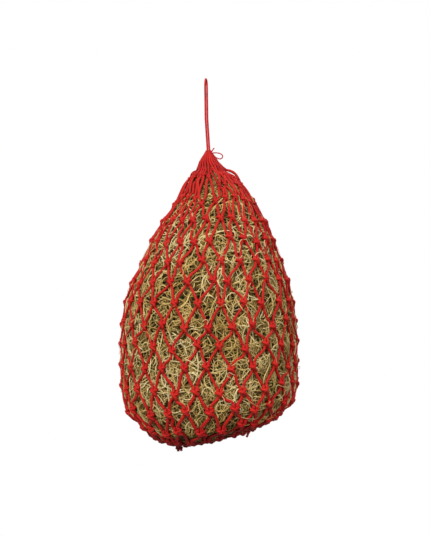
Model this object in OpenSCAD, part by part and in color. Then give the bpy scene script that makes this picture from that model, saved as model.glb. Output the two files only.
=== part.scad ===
// Knotted cord hay net, filled and hanging from its doubled draw cord.
// Millimetres, +Z up. The hook bears on the hanging loop at the origin, and the net hangs below it.

/* [Draw cord] */
// Diameter of the draw cord
draw_cord_d = 4.4; // [3.6:0.1:5.4]
// Diameter of the slip knot
slip_knot_d = 17; // [14:0.5:20.5]
// Height of the slip knot
slip_knot_h = 13; // [10.5:0.5:15.5]
// Diameter of the thin cord of the bow
bow_cord_d = 2.7; // [2.2:0.05:3.3]
// Length of the short cut tail beside the knot
tail_len = 14; // [11:0.5:17]

/* [Mouth] */
// Diameter of the bunched top loops inside the cord's turn
neck_d = 16; // [13:0.5:19.5]
// Length from the mouth to the first knots, along the net
first_course = 80; // [68:1:90]

/* [Net] */
// Diameter of the netting twine
twine_d = 4.6; // [3.8:0.1:4.8]
// Diameter of a netting knot
knot_d = 12.6; // [10.5:0.1:13]
// Width of the filled net, between the centres of opposite knots
net_w = 414; // [360:2:500]
// Height of the filled net, from the mouth to the lowest course
net_h = 676; // [560:2:815]
// How far the bottom gather lies to one side of the mouth
lean = 70; // [56:1:84]

/* [Bottom] */
// Diameter of the bunched loops of the bottom gather
gather_d = 56; // [50:1:60]
// Thickness of the bottom gather
gather_h = 6; // [5:0.5:7.5]
// Diameter of the knot tied under the bottom gather
bottom_knot_d = 13; // [11:0.5:15.5]

/* [Clearances] */
// Gap between pieces that touch on the real net
seat_gap = 0.3; // [0.25:0.01:0.35]

/* [Hidden] */
meshes_round = 24;
courses = 15;

cord_red = [0.78, 0.08, 0.07];
hay_straw = [0.66, 0.56, 0.33];

// Heights of the two bends of the draw cord, and of the face that the net twists on.
fore_bend_z = -54;
side_bend_z = -92;
knot_top = -170;

// The two strands of the draw cord lie side by side.
strand_x = draw_cord_d / 2 + seat_gap / 2;
bend_r = strand_x + draw_cord_d / 2 + 0.25;

// Centre line of the hanging loop: across as a share of strand_x, then fore and up,
// measured from half a cord above the hook.
LOOP_ROUTE = [[-1, 0, -53.7], [-1, -0.6, -46], [-1, -2.6, -38], [-1, -5.6, -30], [-1, -8.4, -22],
    [-0.95, -10.3, -15], [-0.85, -10.7, -10.7], [-0.75, -9.9, -6.6], [-0.55, -7.6, -3.1],
    [-0.3, -4.1, -0.8], [0, 0, 0], [0.3, 4.1, -0.8], [0.55, 7.6, -3.1], [0.75, 9.9, -6.6],
    [0.85, 10.7, -10.7], [0.95, 10.3, -15], [1, 8.4, -22], [1, 5.6, -30], [1, 2.6, -38],
    [1, 0.6, -46], [1, 0, -53.7]];

// Centre line of the bow, from the side of the slip knot and back to it: across from the knot's
// side, then fore and up from the knot's top.
BOW_ROUTE = [[0.9, -1, -4.5], [6.5, -3, -4], [13.5, -5, -4.6], [20, -6, -6.8], [24.6, -6.5, -11.2],
    [23.4, -6, -16.6], [18, -5, -18.8], [11.6, -4, -16.8], [6.2, -3, -13], [0.9, -2, -11.4]];

// The mouth, where the top loops are bunched, lies a little to one side of the hook.
mouth_x = 4;
knot_base = knot_top - seat_gap - slip_knot_h;
turn_h = draw_cord_d + 2 * seat_gap;
mouth_z = knot_base - turn_h;
mouth = [mouth_x, 0, mouth_z];

// Stations down the filled net: across and fore shift of the ring's centre as shares of the lean,
// drop below the mouth as a share of the height, radius as a share of half the width, and tilt.
STATIONS = [[0, 0, 0, 0.03, 0], [0.07, 0, 0.04, 0.165, 0], [0.15, 0, 0.082, 0.3, 0],
    [0.2, 0, 0.128, 0.395, 0], [0.17, 0, 0.186, 0.51, 0], [0.1, 0, 0.27, 0.665, 0],
    [0.05, 0, 0.355, 0.78, 0], [-0.01, 0, 0.44, 0.892, 0], [-0.05, 0, 0.525, 0.965, 0],
    [-0.07, 0, 0.61, 0.995, 0], [-0.07, 0, 0.695, 1, 0], [-0.06, 0, 0.78, 0.995, 1],
    [-0.06, 0, 0.845, 0.965, 2.5], [-0.04, -0.02, 0.9, 0.87, 5], [-0.08, -0.06, 0.942, 0.72, 7],
    [-0.26, -0.12, 0.968, 0.53, 8], [-0.5, -0.2, 0.983, 0.33, 8], [-0.85, -0.3, 0.991, 0.08, 8]];
last_station = len(STATIONS) - 1;
last_course_u = 15.8;

// A station in millimetres: centre x, centre y, height, radius, tilt.
RINGS = [for (s = STATIONS)
    [mouth_x + lean * s[0], lean * s[1], mouth_z - net_h * s[2], net_w / 2 * s[3], s[4]]];

function between(a, b, c, d, f) =
    (2 * b + (c - a) * f + (2 * a - 5 * b + 4 * c - d) * f * f + (3 * b - a - 3 * c + d) * f * f * f) / 2;

function ring_at(u) =
    let (i = min(floor(u), last_station - 1))
    between(RINGS[max(i - 1, 0)], RINGS[i], RINGS[i + 1], RINGS[min(i + 2, last_station)], u - i);

// A point on the net's surface, moved inwards square to the surface by the depth.
function net_point(u, turn, depth = 0) =
    let (
        here = ring_at(u),
        slope = ring_at(min(u + 0.02, last_station)) - ring_at(max(u - 0.02, 0)),
        run = norm([slope[2], slope[3]]),
        r = here[3] + depth * slope[2] / run,
        z = here[2] - depth * slope[3] / run
    )
    [here[0] + r * cos(turn) * cos(here[4]), here[1] + r * sin(turn), z + r * cos(turn) * sin(here[4])];

function tangent_at(turn) = [-sin(turn), cos(turn), 0];

// Running length of the net down from the mouth, and the count of courses in it. Where the net
// is wide its meshes are pulled open, so that its courses lie closer.
walk_step = 0.05;
WALK = [for (u = [0:walk_step:last_station]) ring_at(u)];
STRIDES = [for (i = [1:len(WALK) - 1]) norm([for (k = [0:3]) WALK[i][k] - WALK[i - 1][k]])];
LENGTHS = [for (i = 0, s = 0; i < len(WALK); s = s + (i < len(STRIDES) ? STRIDES[i] : 0), i = i + 1) s];
LENGTH_TO_U = [for (i = [0:len(WALK) - 1]) [LENGTHS[i], i * walk_step]];
first_u = lookup(first_course, LENGTH_TO_U);
U_TO_LENGTH = [for (i = [0:len(WALK) - 1]) [i * walk_step, LENGTHS[i]]];
mean_pitch = (lookup(last_course_u, U_TO_LENGTH) - first_course) / (courses - 1);
bar_len = norm([mean_pitch, 0.75 * PI * net_w / 2 / meshes_round]);
PITCHES = [for (w = WALK) sqrt(pow(bar_len, 2) - pow(PI * w[3] / meshes_round, 2))];
COUNTS = [for (i = 0, c = 0; i < len(WALK);
    c = c + (i < len(STRIDES) ? STRIDES[i] / PITCHES[i] : 0), i = i + 1) c];
U_TO_COUNT = [for (i = [0:len(WALK) - 1]) [i * walk_step, COUNTS[i]]];
COUNT_TO_U = [for (i = [0:len(WALK) - 1]) [COUNTS[i], i * walk_step]];
first_count = lookup(first_u, U_TO_COUNT);
last_count = lookup(last_course_u, U_TO_COUNT);

function course_u(course) =
    lookup(first_count + (last_count - first_count) * (course - 1) / (courses - 1), COUNT_TO_U);
function knot_turn(course, place) = (place + (course % 2) / 2) * 360 / meshes_round;

// Two twines leave each knot side by side.
twine_x = twine_d / 2 + seat_gap / 2;
knot_reach = knot_d / 2 + seat_gap;
// Each twine begins this far along, inside its knot and off the knot's middle plane.
twine_root = twine_d / 5;

// The long loops of the first course fan out from the mouth, and bunch where they would touch.
fan_share = 0.6;
fan_reach = meshes_round * (twine_d + seat_gap) / (2 * PI * fan_share);
fan_angle = 48;

// The bottom gather lies flat under the hay, in the plane of the last courses.
GATHER_RING = RINGS[last_station];
gather = [GATHER_RING[0], GATHER_RING[1], GATHER_RING[2]];
gather_tilt = GATHER_RING[4];
tie_r = 11;

// The hay stays clear of the knots' inner sides.
hay_depth = knot_d / 2 + seat_gap + 0.3;
hay_rings = 5;
FLAKE_LIMITS = [1.5, 5, 8.6, 12.2, 16.7];

module rod(from, to, d) {
    along = to - from;
    translate(from)
        rotate([0, acos(along[2] / norm(along)), atan2(along[1], along[0])])
            cylinder(h = norm(along), d = d, $fn = 24);
}

// A round cord along a route, as rings of points square to it.
module cord(route, d, sides, side_way) {
    last = len(route) - 1;
    points = [for (i = [0:last])
        let (
            way = route[min(i + 1, last)] - route[max(i - 1, 0)],
            along = way / norm(way),
            side = side_way - (side_way * along) * along,
            a = side / norm(side),
            b = cross(along, a)
        )
        each [for (k = [0:sides - 1])
            route[i] + d / 2 * (a * cos(360 * k / sides) + b * sin(360 * k / sides))]];
    walls = [for (i = [0:last - 1], k = [0:sides - 1])
        let (next = (k + 1) % sides)
        each [
            [i * sides + k, i * sides + next, (i + 1) * sides + next],
            [i * sides + k, (i + 1) * sides + next, (i + 1) * sides + k]]];
    start = [[for (k = [sides - 1:-1:0]) k]];
    end = [[for (k = [0:sides - 1]) last * sides + k]];
    polyhedron([for (p = points) p], [for (f = concat(start, walls, end)) [f[0], for (i = [len(f) - 1:-1:1]) f[i]]]);
}

module hanging_loop() {
    color(cord_red)
        translate([0, 0, draw_cord_d / 2])
            cord([for (p = LOOP_ROUTE) [p[0] * strand_x, p[1], p[2]]], draw_cord_d, 12, [1, 0, 0]);
}

// From the fore bend's round end down to the side bend.
module upper_strand(side) {
    color(cord_red) {
        translate([side * strand_x, 0, side_bend_z + bend_r + seat_gap])
            cylinder(h = fore_bend_z - side_bend_z - bend_r - seat_gap, d = draw_cord_d, $fn = 24);
        translate([side * strand_x, 0, fore_bend_z])
            rotate([0, 90, 0])
                cylinder(h = draw_cord_d, d = draw_cord_d, center = true, $fn = 24);
    }
}

// From the side bend, where a round end takes in both strands, down to the slip knot.
module lower_strand(side) {
    top = [side * strand_x, 0, side_bend_z];
    foot = [mouth_x + side * strand_x, 0, knot_top + seat_gap + 0.1];
    way = (foot - top) / norm(foot - top);
    color(cord_red)
        difference() {
            rod(top - 2 * bend_r * way, foot, draw_cord_d);
            difference() {
                translate([-4 * bend_r, -4 * bend_r, side_bend_z])
                    cube([8 * bend_r, 8 * bend_r, 4 * bend_r]);
                translate([0, 0, side_bend_z])
                    rotate([90, 0, 0])
                        cylinder(h = 10 * bend_r, r = bend_r, center = true, $fn = 48);
            }
        }
}

module slip_knot() {
    round_r = slip_knot_h / 3;
    r = slip_knot_d / 2;
    corner = [for (a = [0:22.5:90]) [r - round_r + round_r * cos(a), round_r * sin(a)]];
    outline = concat(
        [[0, 0], [0, slip_knot_h]],
        [for (i = [4:-1:0]) [corner[i][0], slip_knot_h - round_r + corner[i][1]]],
        [for (i = [0:4]) [corner[i][0], round_r - corner[i][1]]]);
    color(cord_red)
        translate([mouth_x, 0, knot_base])
            rotate_extrude($fn = 64)
                polygon(outline);
}

module bow_loop() {
    color(cord_red)
        translate([mouth_x + slip_knot_d / 2, 0, knot_top])
            cord(BOW_ROUTE, bow_cord_d, 8, [0, 1, 0]);
}

module cord_tail() {
    way = [0.45, -0.3, 0.84];
    side = [cos(-55), sin(-55), 0];
    root = [mouth_x, 0, knot_top - 5] + (slip_knot_d / 2 + bow_cord_d / 2 + seat_gap) * side;
    color(cord_red)
        rod(root, root + tail_len * way, bow_cord_d);
}

// The turn that the draw cord takes round the bunched loops.
module mouth_turn() {
    color(cord_red)
        translate([mouth_x, 0, knot_base - turn_h / 2])
            rotate_extrude($fn = 64)
                translate([neck_d / 2 + seat_gap + draw_cord_d / 2, 0])
                    circle(d = draw_cord_d, $fn = 24);
}

// The top loops where they are bunched: a neck inside the cord's turn and a flare below it.
module mouth_loops() {
    flare_h = fan_reach * cos(fan_angle);
    color(cord_red) {
        translate([mouth_x, 0, mouth_z - 1])
            cylinder(h = turn_h + 1 - seat_gap, d = neck_d, $fn = 48);
        translate(mouth)
            intersection() {
                sphere(r = fan_reach, $fn = 64);
                translate([0, 0, -flare_h])
                    cylinder(h = flare_h, r1 = fan_reach * sin(fan_angle), r2 = neck_d / 2, $fn = 64);
            }
    }
}

// A knot, with the sphere's poles turned outwards and inwards, clear of its twines.
module knot(centre, turn) {
    translate(centre)
        rotate([0, 90, turn])
            sphere(d = knot_d, $fn = 24);
}

// A knot and the two twines that hang it from the course above.
module hung_knot(course, turn) {
    centre = net_point(course_u(course), turn);
    knot(centre, turn);
    for (side = [-1, 1]) {
        above_turn = turn + side * 180 / meshes_round;
        above = net_point(course_u(course - 1), above_turn);
        from = centre + side * twine_x * tangent_at(turn);
        aim = above - side * twine_x * tangent_at(above_turn);
        way = (aim - from) / norm(aim - from);
        rod(from + twine_root * way, aim + way * ((above - aim) * way - knot_reach), twine_d);
    }
}

// A knot of the first course and the doubled twine that hangs it from the mouth.
module mouth_knot(turn) {
    centre = net_point(course_u(1), turn);
    way = (mouth - centre) / norm(mouth - centre);
    knot(centre, turn);
    rod(centre, mouth - way * (fan_reach + seat_gap), twine_d);
}

module mesh_course(course) {
    color(cord_red)
        for (place = [0:meshes_round - 1]) {
            turn = knot_turn(course, place);
            if (course == 1)
                mouth_knot(turn);
            else
                hung_knot(course, turn);
        }
}

// The closing loops under the hay, from the last course to places spread round the bottom gather.
module bottom_loops() {
    rim_r = gather_d / 2 + twine_d / 4 + seat_gap;
    color(cord_red)
        for (place = [0:meshes_round - 1]) {
            turn = knot_turn(courses, place);
            centre = net_point(last_course_u, turn);
            across = rim_r * cos(turn);
            end = gather + [across * cos(gather_tilt), rim_r * sin(turn), across * sin(gather_tilt)];
            way = (end - centre) / norm(end - centre);
            rod(centre + way * knot_reach, end, twine_d);
        }
}

module in_gather_plane() {
    translate(gather)
        rotate([0, -gather_tilt, 0])
            children();
}

module bottom_gather() {
    color(cord_red)
        in_gather_plane()
            cylinder(h = gather_h, d = gather_d, center = true, $fn = 64);
}

// The cord threaded through the bottom loops and drawn tight.
module bottom_tie() {
    color(cord_red)
        in_gather_plane()
            translate([0, 0, -gather_h / 2 - seat_gap - twine_d / 2])
                rotate_extrude($fn = 64)
                    translate([tie_r, 0])
                        circle(d = twine_d, $fn = 24);
}

module bottom_knot() {
    color(cord_red)
        in_gather_plane()
            translate([-tie_r - (twine_d + bottom_knot_d) / 2 - seat_gap, 0,
                -(gather_h + bottom_knot_d) / 2 - seat_gap])
                sphere(d = bottom_knot_d, $fn = 32);
}

// The cut end left where a new length of twine was joined in.
module twine_tail() {
    root = net_point(course_u(14), knot_turn(14, 22));
    way = [-0.6, -0.35, -0.72];
    color(cord_red)
        rod(root + knot_reach * way, root + (knot_reach + 18) * way, twine_d - 1);
}

// One flake of hay between two stations, as closed rings of points.
module hay_flake(flake) {
    sides = 2 * meshes_round;
    upper = FLAKE_LIMITS[flake];
    lower = FLAKE_LIMITS[flake + 1];
    rings = [for (i = [0:hay_rings]) upper + (lower - upper) * i / hay_rings];
    drop = [for (i = [0:hay_rings]) i == 0 && flake > 0 ? seat_gap : 0];
    points = [for (i = [0:hay_rings])
        each [for (k = [0:sides - 1])
            net_point(rings[i], 360 * k / sides, hay_depth) - [0, 0, drop[i]]]];
    walls = [for (i = [0:hay_rings - 1], k = [0:sides - 1])
        let (next = (k + 1) % sides)
        each [
            [i * sides + k, i * sides + next, (i + 1) * sides + next],
            [i * sides + k, (i + 1) * sides + next, (i + 1) * sides + k]]];
    top = [[for (k = [sides - 1:-1:0]) k]];
    base = [[for (k = [0:sides - 1]) hay_rings * sides + k]];
    color(hay_straw)
        polyhedron(points, concat(top, walls, base));
}

hanging_loop();
upper_strand(-1);  // upper_strand_left
upper_strand(1);  // upper_strand_right
lower_strand(-1);  // lower_strand_left
lower_strand(1);  // lower_strand_right
slip_knot();
bow_loop();
cord_tail();
mouth_turn();
mouth_loops();
mesh_course(1);  // mesh_course_01
mesh_course(2);  // mesh_course_02
mesh_course(3);  // mesh_course_03
mesh_course(4);  // mesh_course_04
mesh_course(5);  // mesh_course_05
mesh_course(6);  // mesh_course_06
mesh_course(7);  // mesh_course_07
mesh_course(8);  // mesh_course_08
mesh_course(9);  // mesh_course_09
mesh_course(10);  // mesh_course_10
mesh_course(11);  // mesh_course_11
mesh_course(12);  // mesh_course_12
mesh_course(13);  // mesh_course_13
mesh_course(14);  // mesh_course_14
mesh_course(15);  // mesh_course_15
bottom_loops();
bottom_gather();
bottom_tie();
bottom_knot();
twine_tail();
hay_flake(0);  // hay_flake_top
hay_flake(1);  // hay_flake_upper
hay_flake(2);  // hay_flake_middle
hay_flake(3);  // hay_flake_lower
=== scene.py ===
"""Knotted cord hay net, filled and hanging from its doubled draw cord.

Lengths are in metres and +Z is up. The hook bears on the hanging loop at the origin, and the net
hangs below it. Each new piece is worked out on a grid with numpy, in the space of its CAD node.
"""

from __future__ import annotations

import logging
import math
from dataclasses import dataclass, field, replace
from enum import Enum

import bpy
import numpy as np
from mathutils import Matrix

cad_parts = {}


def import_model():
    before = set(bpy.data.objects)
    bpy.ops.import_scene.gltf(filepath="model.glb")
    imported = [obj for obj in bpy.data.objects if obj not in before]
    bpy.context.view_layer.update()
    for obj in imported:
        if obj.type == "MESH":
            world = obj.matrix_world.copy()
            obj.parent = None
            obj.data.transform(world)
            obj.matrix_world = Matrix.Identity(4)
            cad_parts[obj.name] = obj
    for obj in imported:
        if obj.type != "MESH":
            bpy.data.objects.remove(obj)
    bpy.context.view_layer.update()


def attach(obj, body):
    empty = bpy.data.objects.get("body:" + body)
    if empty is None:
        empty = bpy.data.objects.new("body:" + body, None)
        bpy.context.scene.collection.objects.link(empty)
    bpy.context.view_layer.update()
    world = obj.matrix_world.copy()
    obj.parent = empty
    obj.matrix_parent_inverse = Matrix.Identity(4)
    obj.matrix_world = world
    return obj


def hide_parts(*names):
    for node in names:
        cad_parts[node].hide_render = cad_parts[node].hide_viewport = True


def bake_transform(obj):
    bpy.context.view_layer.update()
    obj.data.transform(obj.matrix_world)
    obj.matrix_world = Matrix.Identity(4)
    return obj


LOG = logging.getLogger("hay_net")
Array = np.ndarray
Socket = bpy.types.NodeSocket
BAKE_MAP = "OFBake"
MM = 0.001


def srgb(red: float, green: float, blue: float) -> tuple[float, float, float, float]:
    """Turn a colour of 0 to 255 a channel into Blender's linear colour.

    Args:
        red: Red, 0 to 255.
        green: Green, 0 to 255.
        blue: Blue, 0 to 255.

    Returns:
        The linear colour with full alpha.
    """
    shares = np.array([red, green, blue]) / 255
    linear = np.where(shares <= 0.04045, shares / 12.92, ((shares + 0.055) / 1.055) ** 2.4)
    return (*(float(c) for c in linear), 1.0)


# ---------------------------------------------------------------------------- surfaces


def unit(vectors: Array) -> Array:
    """Scale vectors to length one along their last axis."""
    return vectors / np.maximum(np.linalg.norm(vectors, axis=-1, keepdims=True), 1e-12)


def smoothed(a: Array, b: Array, c: Array, d: Array, f: Array) -> Array:
    """Give the smooth curve from b to c, with a before and d after, at a share f of the way.

    The curve is half of 2b + (c - a)f + (2a - 5b + 4c - d)f² + (3b - a - 3c + d)f³.

    Args:
        a: The point before the first.
        b: The first point.
        c: The second point.
        d: The point after the second.
        f: Shares, 0 at b and 1 at c.

    Returns:
        Points, shaped as the terms are together.
    """
    return (
        2 * b + (c - a) * f + (2 * a - 5 * b + 4 * c - d) * f**2 + (3 * b - a - 3 * c + d) * f**3
    ) / 2


def smooth_route(points: Array, count: int) -> Array:
    """Walk evenly along a smooth curve through points, with each pair joined as smoothed does.

    Args:
        points: The points, shaped (points, 3).
        count: How many points to return.

    Returns:
        Points evenly spaced in length, shaped (count, 3).
    """
    points = np.asarray(points, float)
    held = np.vstack([2 * points[0] - points[1], points, 2 * points[-1] - points[-2]])
    walk = np.linspace(0, len(points) - 1, 24 * len(points))
    first = np.minimum(walk.astype(int), len(points) - 2)
    curve = smoothed(*(held[first + k] for k in range(4)), (walk - first)[:, None])
    gone = np.concatenate([[0], np.cumsum(np.linalg.norm(np.diff(curve, axis=0), axis=1))])
    stops = np.linspace(0, gone[-1], count)
    return np.stack([np.interp(stops, gone, curve[:, k]) for k in range(3)], axis=1)


def route_length(route: Array) -> float:
    """Add up a route's steps."""
    return float(np.linalg.norm(np.diff(route, axis=0), axis=1).sum())


@dataclass(frozen=True)
class ToneMap:
    """How cords share a bake map: a column of the map for each tone, and cord length up it.

    Attributes:
        tones: How many columns there are.
        span: The length of cord that the map's height holds.
        repeat: The share of the height after which a longer cord starts again at the foot. The
            yarns come round to the same place in it.
    """

    tones: int
    span: float
    repeat: float = 0.8


@dataclass
class Surface:
    """A mesh in the making.

    Attributes:
        vertices: Shaped (vertices, 3).
        faces: Arrays of vertex numbers, one for each number of corners, shaped (faces, corners).
        places: The corners' places on the bake map, shaped as faces with 2 more.
    """

    vertices: Array
    faces: list[Array]
    places: list[Array]

    @staticmethod
    def joined(parts: list[Surface]) -> Surface:
        """Put several surfaces together as one."""
        starts = np.cumsum([0] + [len(part.vertices) for part in parts])
        return Surface(
            np.concatenate([part.vertices for part in parts]),
            [faces + start for part, start in zip(parts, starts) for faces in part.faces],
            [places for part in parts for places in part.places],
        )

    def stamped(self, centres: Array, axes: Array, shifts: Array) -> Surface:
        """Repeat the surface: each copy is centre + x X + y Y + z Z, for its own axes X, Y and Z.

        Args:
            centres: Where the copies go, shaped (copies, 3).
            axes: The copies' axes as rows, shaped (copies, 3, 3).
            shifts: How far each copy's places move on the bake map, shaped (copies, 2).

        Returns:
            One surface of all the copies.
        """
        copies, size = len(centres), len(self.vertices)
        vertices = centres[:, None] + np.einsum("vj,kji->kvi", self.vertices, axes)
        starts = size * np.arange(copies)[:, None, None]
        return Surface(
            vertices.reshape(-1, 3),
            [(faces + starts).reshape(-1, faces.shape[1]) for faces in self.faces],
            [
                (places + shifts[:, None, None]).reshape(-1, *places.shape[1:])
                for places in self.places
            ],
        )

    def mesh(self, name: str) -> bpy.types.Mesh:
        """Write the surface into a Blender mesh with smooth faces and its bake map."""
        corners = np.concatenate([faces.ravel() for faces in self.faces])
        sizes = np.concatenate([np.full(len(faces), faces.shape[1]) for faces in self.faces])
        starts = np.cumsum(sizes) - sizes
        mesh = bpy.data.meshes.new(name)
        mesh.vertices.add(len(self.vertices))
        mesh.vertices.foreach_set("co", self.vertices.astype(np.float32).ravel())
        mesh.loops.add(len(corners))
        mesh.loops.foreach_set("vertex_index", corners.astype(np.int32))
        mesh.polygons.add(len(sizes))
        mesh.polygons.foreach_set("loop_start", starts.astype(np.int32))
        mesh.polygons.foreach_set("use_smooth", np.ones(len(sizes), bool))
        layer = mesh.uv_layers.new(name=BAKE_MAP)
        places = np.concatenate([places.reshape(-1, 2) for places in self.places])
        layer.data.foreach_set("uv", places.astype(np.float32).ravel())
        mesh.update(calc_edges=True)
        mesh.validate()
        return mesh


def wall_faces(index: Array) -> Array:
    """Give the quads between rings of vertex numbers, shaped (..., rings, sides).

    A quad joins a number, the one beside it, and the same two in the next ring.
    """
    beside = np.roll(index, -1, axis=-1)
    corners = (index[..., :-1, :], beside[..., :-1, :], beside[..., 1:, :], index[..., 1:, :])
    return np.stack(corners, axis=-1).reshape(-1, 4)


def wall_places(*corners: tuple[Array, Array]) -> Array:
    """Give the quads' places on the bake map, from the u and v of each of their corners."""
    places = [np.stack(np.broadcast_arrays(*corner), axis=-1) for corner in corners]
    return np.stack(places, axis=-2).reshape(-1, 4, 2)


def tubes(
    paths: Array,
    radius: float | Array,
    sides: int,
    hint: Array,
    tone_map: ToneMap,
    tones: Array,
    starts: Array,
    flat: float = 1.0,
) -> Surface:
    """Carry a round or flattened section along many paths at once, with closed ends.

    A ring is path + radius (flat side cos a + other sin a). Side is the hint less its part along
    the path, and other is square to side and path.

    Args:
        paths: Centre lines, shaped (tubes, rings, 3).
        radius: The section's radius, or one for each ring, shaped (tubes, rings).
        sides: How many corners the section has.
        hint: A direction that is never along the path, shaped to match paths.
        tone_map: The bake map that the tubes share.
        tones: Each tube's column of the map, shaped (tubes,).
        starts: Where up the map each tube starts, in heights of the map, shaped (tubes,).
        flat: The section's thickness along the hint, as a share of its width.

    Returns:
        The tubes as one surface.
    """
    count, rings = paths.shape[:2]
    way = unit(np.gradient(paths, axis=1))
    hint = np.broadcast_to(hint, paths.shape)
    side = unit(hint - (hint * way).sum(-1, keepdims=True) * way)
    other = np.cross(way, side)
    turn = 2 * np.pi * np.arange(sides) / sides
    spokes = flat * side[:, :, None] * np.cos(turn)[:, None]
    spokes = spokes + other[:, :, None] * np.sin(turn)[:, None]
    radius = np.broadcast_to(radius, (count, rings))[..., None, None]
    vertices = paths[:, :, None] + radius * spokes

    index = np.arange(count * rings * sides).reshape(count, rings, sides)
    steps = np.linalg.norm(np.diff(paths, axis=1), axis=2)
    gone = np.concatenate([np.zeros((count, 1)), np.cumsum(steps, axis=1)], axis=1)
    up = (starts[:, None] + gone / tone_map.span)[:, :, None]
    wrapped = np.floor(up[:, :-1] / tone_map.repeat) * tone_map.repeat
    low, high = up[:, :-1] - wrapped, up[:, 1:] - wrapped
    left = (tones[:, None, None] + np.arange(sides) / sides) / tone_map.tones
    right = left + 1 / sides / tone_map.tones
    places = wall_places((left, low), (right, low), (right, high), (left, high))

    patch = np.stack([0.3 / tone_map.tones * np.cos(turn), 0.012 * np.sin(turn)], axis=1)
    middle = (tones + 0.5) / tone_map.tones
    ends = []
    for edge in (low[:, 0, 0], high[:, -1, 0]):
        centre = np.stack([middle, edge.clip(0.015, 0.985)], axis=1)
        ends.append(centre[:, None] + patch)
    return Surface(
        vertices.reshape(-1, 3),
        [wall_faces(index), index[:, 0, ::-1], index[:, -1]],
        [places, ends[0][:, ::-1], ends[1]],
    )


def rope(
    route: Array,
    diameter: float,
    sides: int,
    hint: tuple[float, float, float],
    tone_map: ToneMap,
    tone: int,
    start: float = 0.0,
) -> Surface:
    """Carry a round section along one route, as tubes does along many."""
    tones, starts = np.array([tone]), np.array([start])
    return tubes(route[None], diameter / 2, sides, np.array(hint), tone_map, tones, starts)


def add_piece(
    name: str,
    surface: Surface,
    material: bpy.types.Material,
    nodes: tuple[str, ...],
) -> bpy.types.Object:
    """Make a surface an object that stands for some CAD nodes.

    Args:
        name: The piece's name.
        surface: Its shape, in place.
        material: Its finish.
        nodes: The CAD nodes that it stands for.

    Returns:
        The new object, which rides on nothing yet.
    """
    mesh = surface.mesh(name)
    mesh.materials.append(material)
    piece = bpy.data.objects.new(name, mesh)
    bpy.context.scene.collection.objects.link(piece)
    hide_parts(*nodes)
    faces = sum(len(faces) * (faces.shape[1] - 2) for faces in surface.faces)
    LOG.info("%s: %d triangles, stands for %s", name, faces, ", ".join(nodes))
    return piece


# ---------------------------------------------------------------------------- finishes


class NodeBench:
    """Adds nodes to one node tree and wires them."""

    def __init__(self, tree: bpy.types.NodeTree) -> None:
        """Start work on a tree."""
        self.tree = tree

    @classmethod
    def for_group(cls, name: str, values: tuple[str, ...], results: tuple[str, ...]) -> NodeBench:
        """Start a shared group that takes a place on the bake map.

        Args:
            name: The group's name.
            values: The names of the other inputs, each a value.
            results: The names of its outputs, each a value.

        Returns:
            A bench with the group's tree.
        """
        tree = bpy.data.node_groups.new(name, "ShaderNodeTree")
        tree.interface.new_socket("Place", in_out="INPUT", socket_type="NodeSocketVector")
        for value in values:
            tree.interface.new_socket(value, in_out="INPUT", socket_type="NodeSocketFloat")
        for result in results:
            tree.interface.new_socket(result, in_out="OUTPUT", socket_type="NodeSocketFloat")
        return cls(tree)

    def add(self, kind: str, **settings: object) -> bpy.types.Node:
        """Add a node and set its properties.

        Args:
            kind: The node's type name.
            **settings: Properties of the node.

        Returns:
            The node.
        """
        node = self.tree.nodes.new(kind)
        for name, value in settings.items():
            setattr(node, name, value)
        return node

    def feed(self, socket: Socket, value: Socket | float | tuple) -> None:
        """Wire a socket into an input, or set the input's value."""
        if isinstance(value, bpy.types.NodeSocket):
            self.tree.links.new(value, socket)
        else:
            socket.default_value = value

    def maths(self, operation: str, *values: Socket | float) -> Socket:
        """Add a Math node and return its result."""
        node = self.add("ShaderNodeMath", operation=operation)
        for socket, value in zip(node.inputs, values):
            self.feed(socket, value)
        return node.outputs[0]

    def noise(self, place: Socket, scale: float, detail: float = 2.0) -> Socket:
        """Add a Noise Texture and return its value, about 0.5 on average."""
        node = self.add("ShaderNodeTexNoise")
        self.feed(node.inputs["Vector"], place)
        node.inputs["Scale"].default_value = scale
        node.inputs["Detail"].default_value = detail
        return node.outputs["Fac"]

    def stretched(self, place: Socket, across: float, along: float) -> Socket:
        """Scale a place on the bake map before a texture reads it."""
        node = self.add("ShaderNodeMapping")
        self.feed(node.inputs["Vector"], place)
        node.inputs["Scale"].default_value = (across, along, 1)
        return node.outputs["Vector"]

    def ranged(
        self,
        value: Socket,
        low: float,
        high: float,
        to_low: Socket | float,
        to_high: Socket | float,
    ) -> Socket:
        """Move a value from one range to another, held inside it."""
        node = self.add("ShaderNodeMapRange")
        for socket, setting in zip(node.inputs, (value, low, high, to_low, to_high)):
            self.feed(socket, setting)
        return node.outputs[0]

    def blended(
        self, share: Socket | float, first: Socket | tuple, second: Socket | tuple
    ) -> Socket:
        """Mix two colours and return the result."""
        node = self.add("ShaderNodeMix", data_type="RGBA")
        for number, value in ((0, share), (6, first), (7, second)):
            self.feed(node.inputs[number], value)
        return node.outputs[2]

    def ramp(self, value: Socket, stops: list[tuple[float, tuple]]) -> Socket:
        """Add a Color Ramp with these stops and return its colour."""
        node = self.add("ShaderNodeValToRGB")
        elements = node.color_ramp.elements
        while len(elements) < len(stops):
            elements.new(0.5)
        for element, (position, colour) in zip(elements, stops):
            element.position = position
            element.color = colour
        self.feed(node.inputs[0], value)
        return node.outputs[0]

    def scaled_colour(self, colour: Socket, value: Socket) -> Socket:
        """Make a colour lighter or darker by a factor."""
        node = self.add("ShaderNodeHueSaturation")
        self.feed(node.inputs["Value"], value)
        self.feed(node.inputs["Color"], colour)
        return node.outputs[0]


class CordMake(Enum):
    """How a cord is made."""

    PLAITED = "plaited"
    TWISTED = "twisted"


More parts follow.
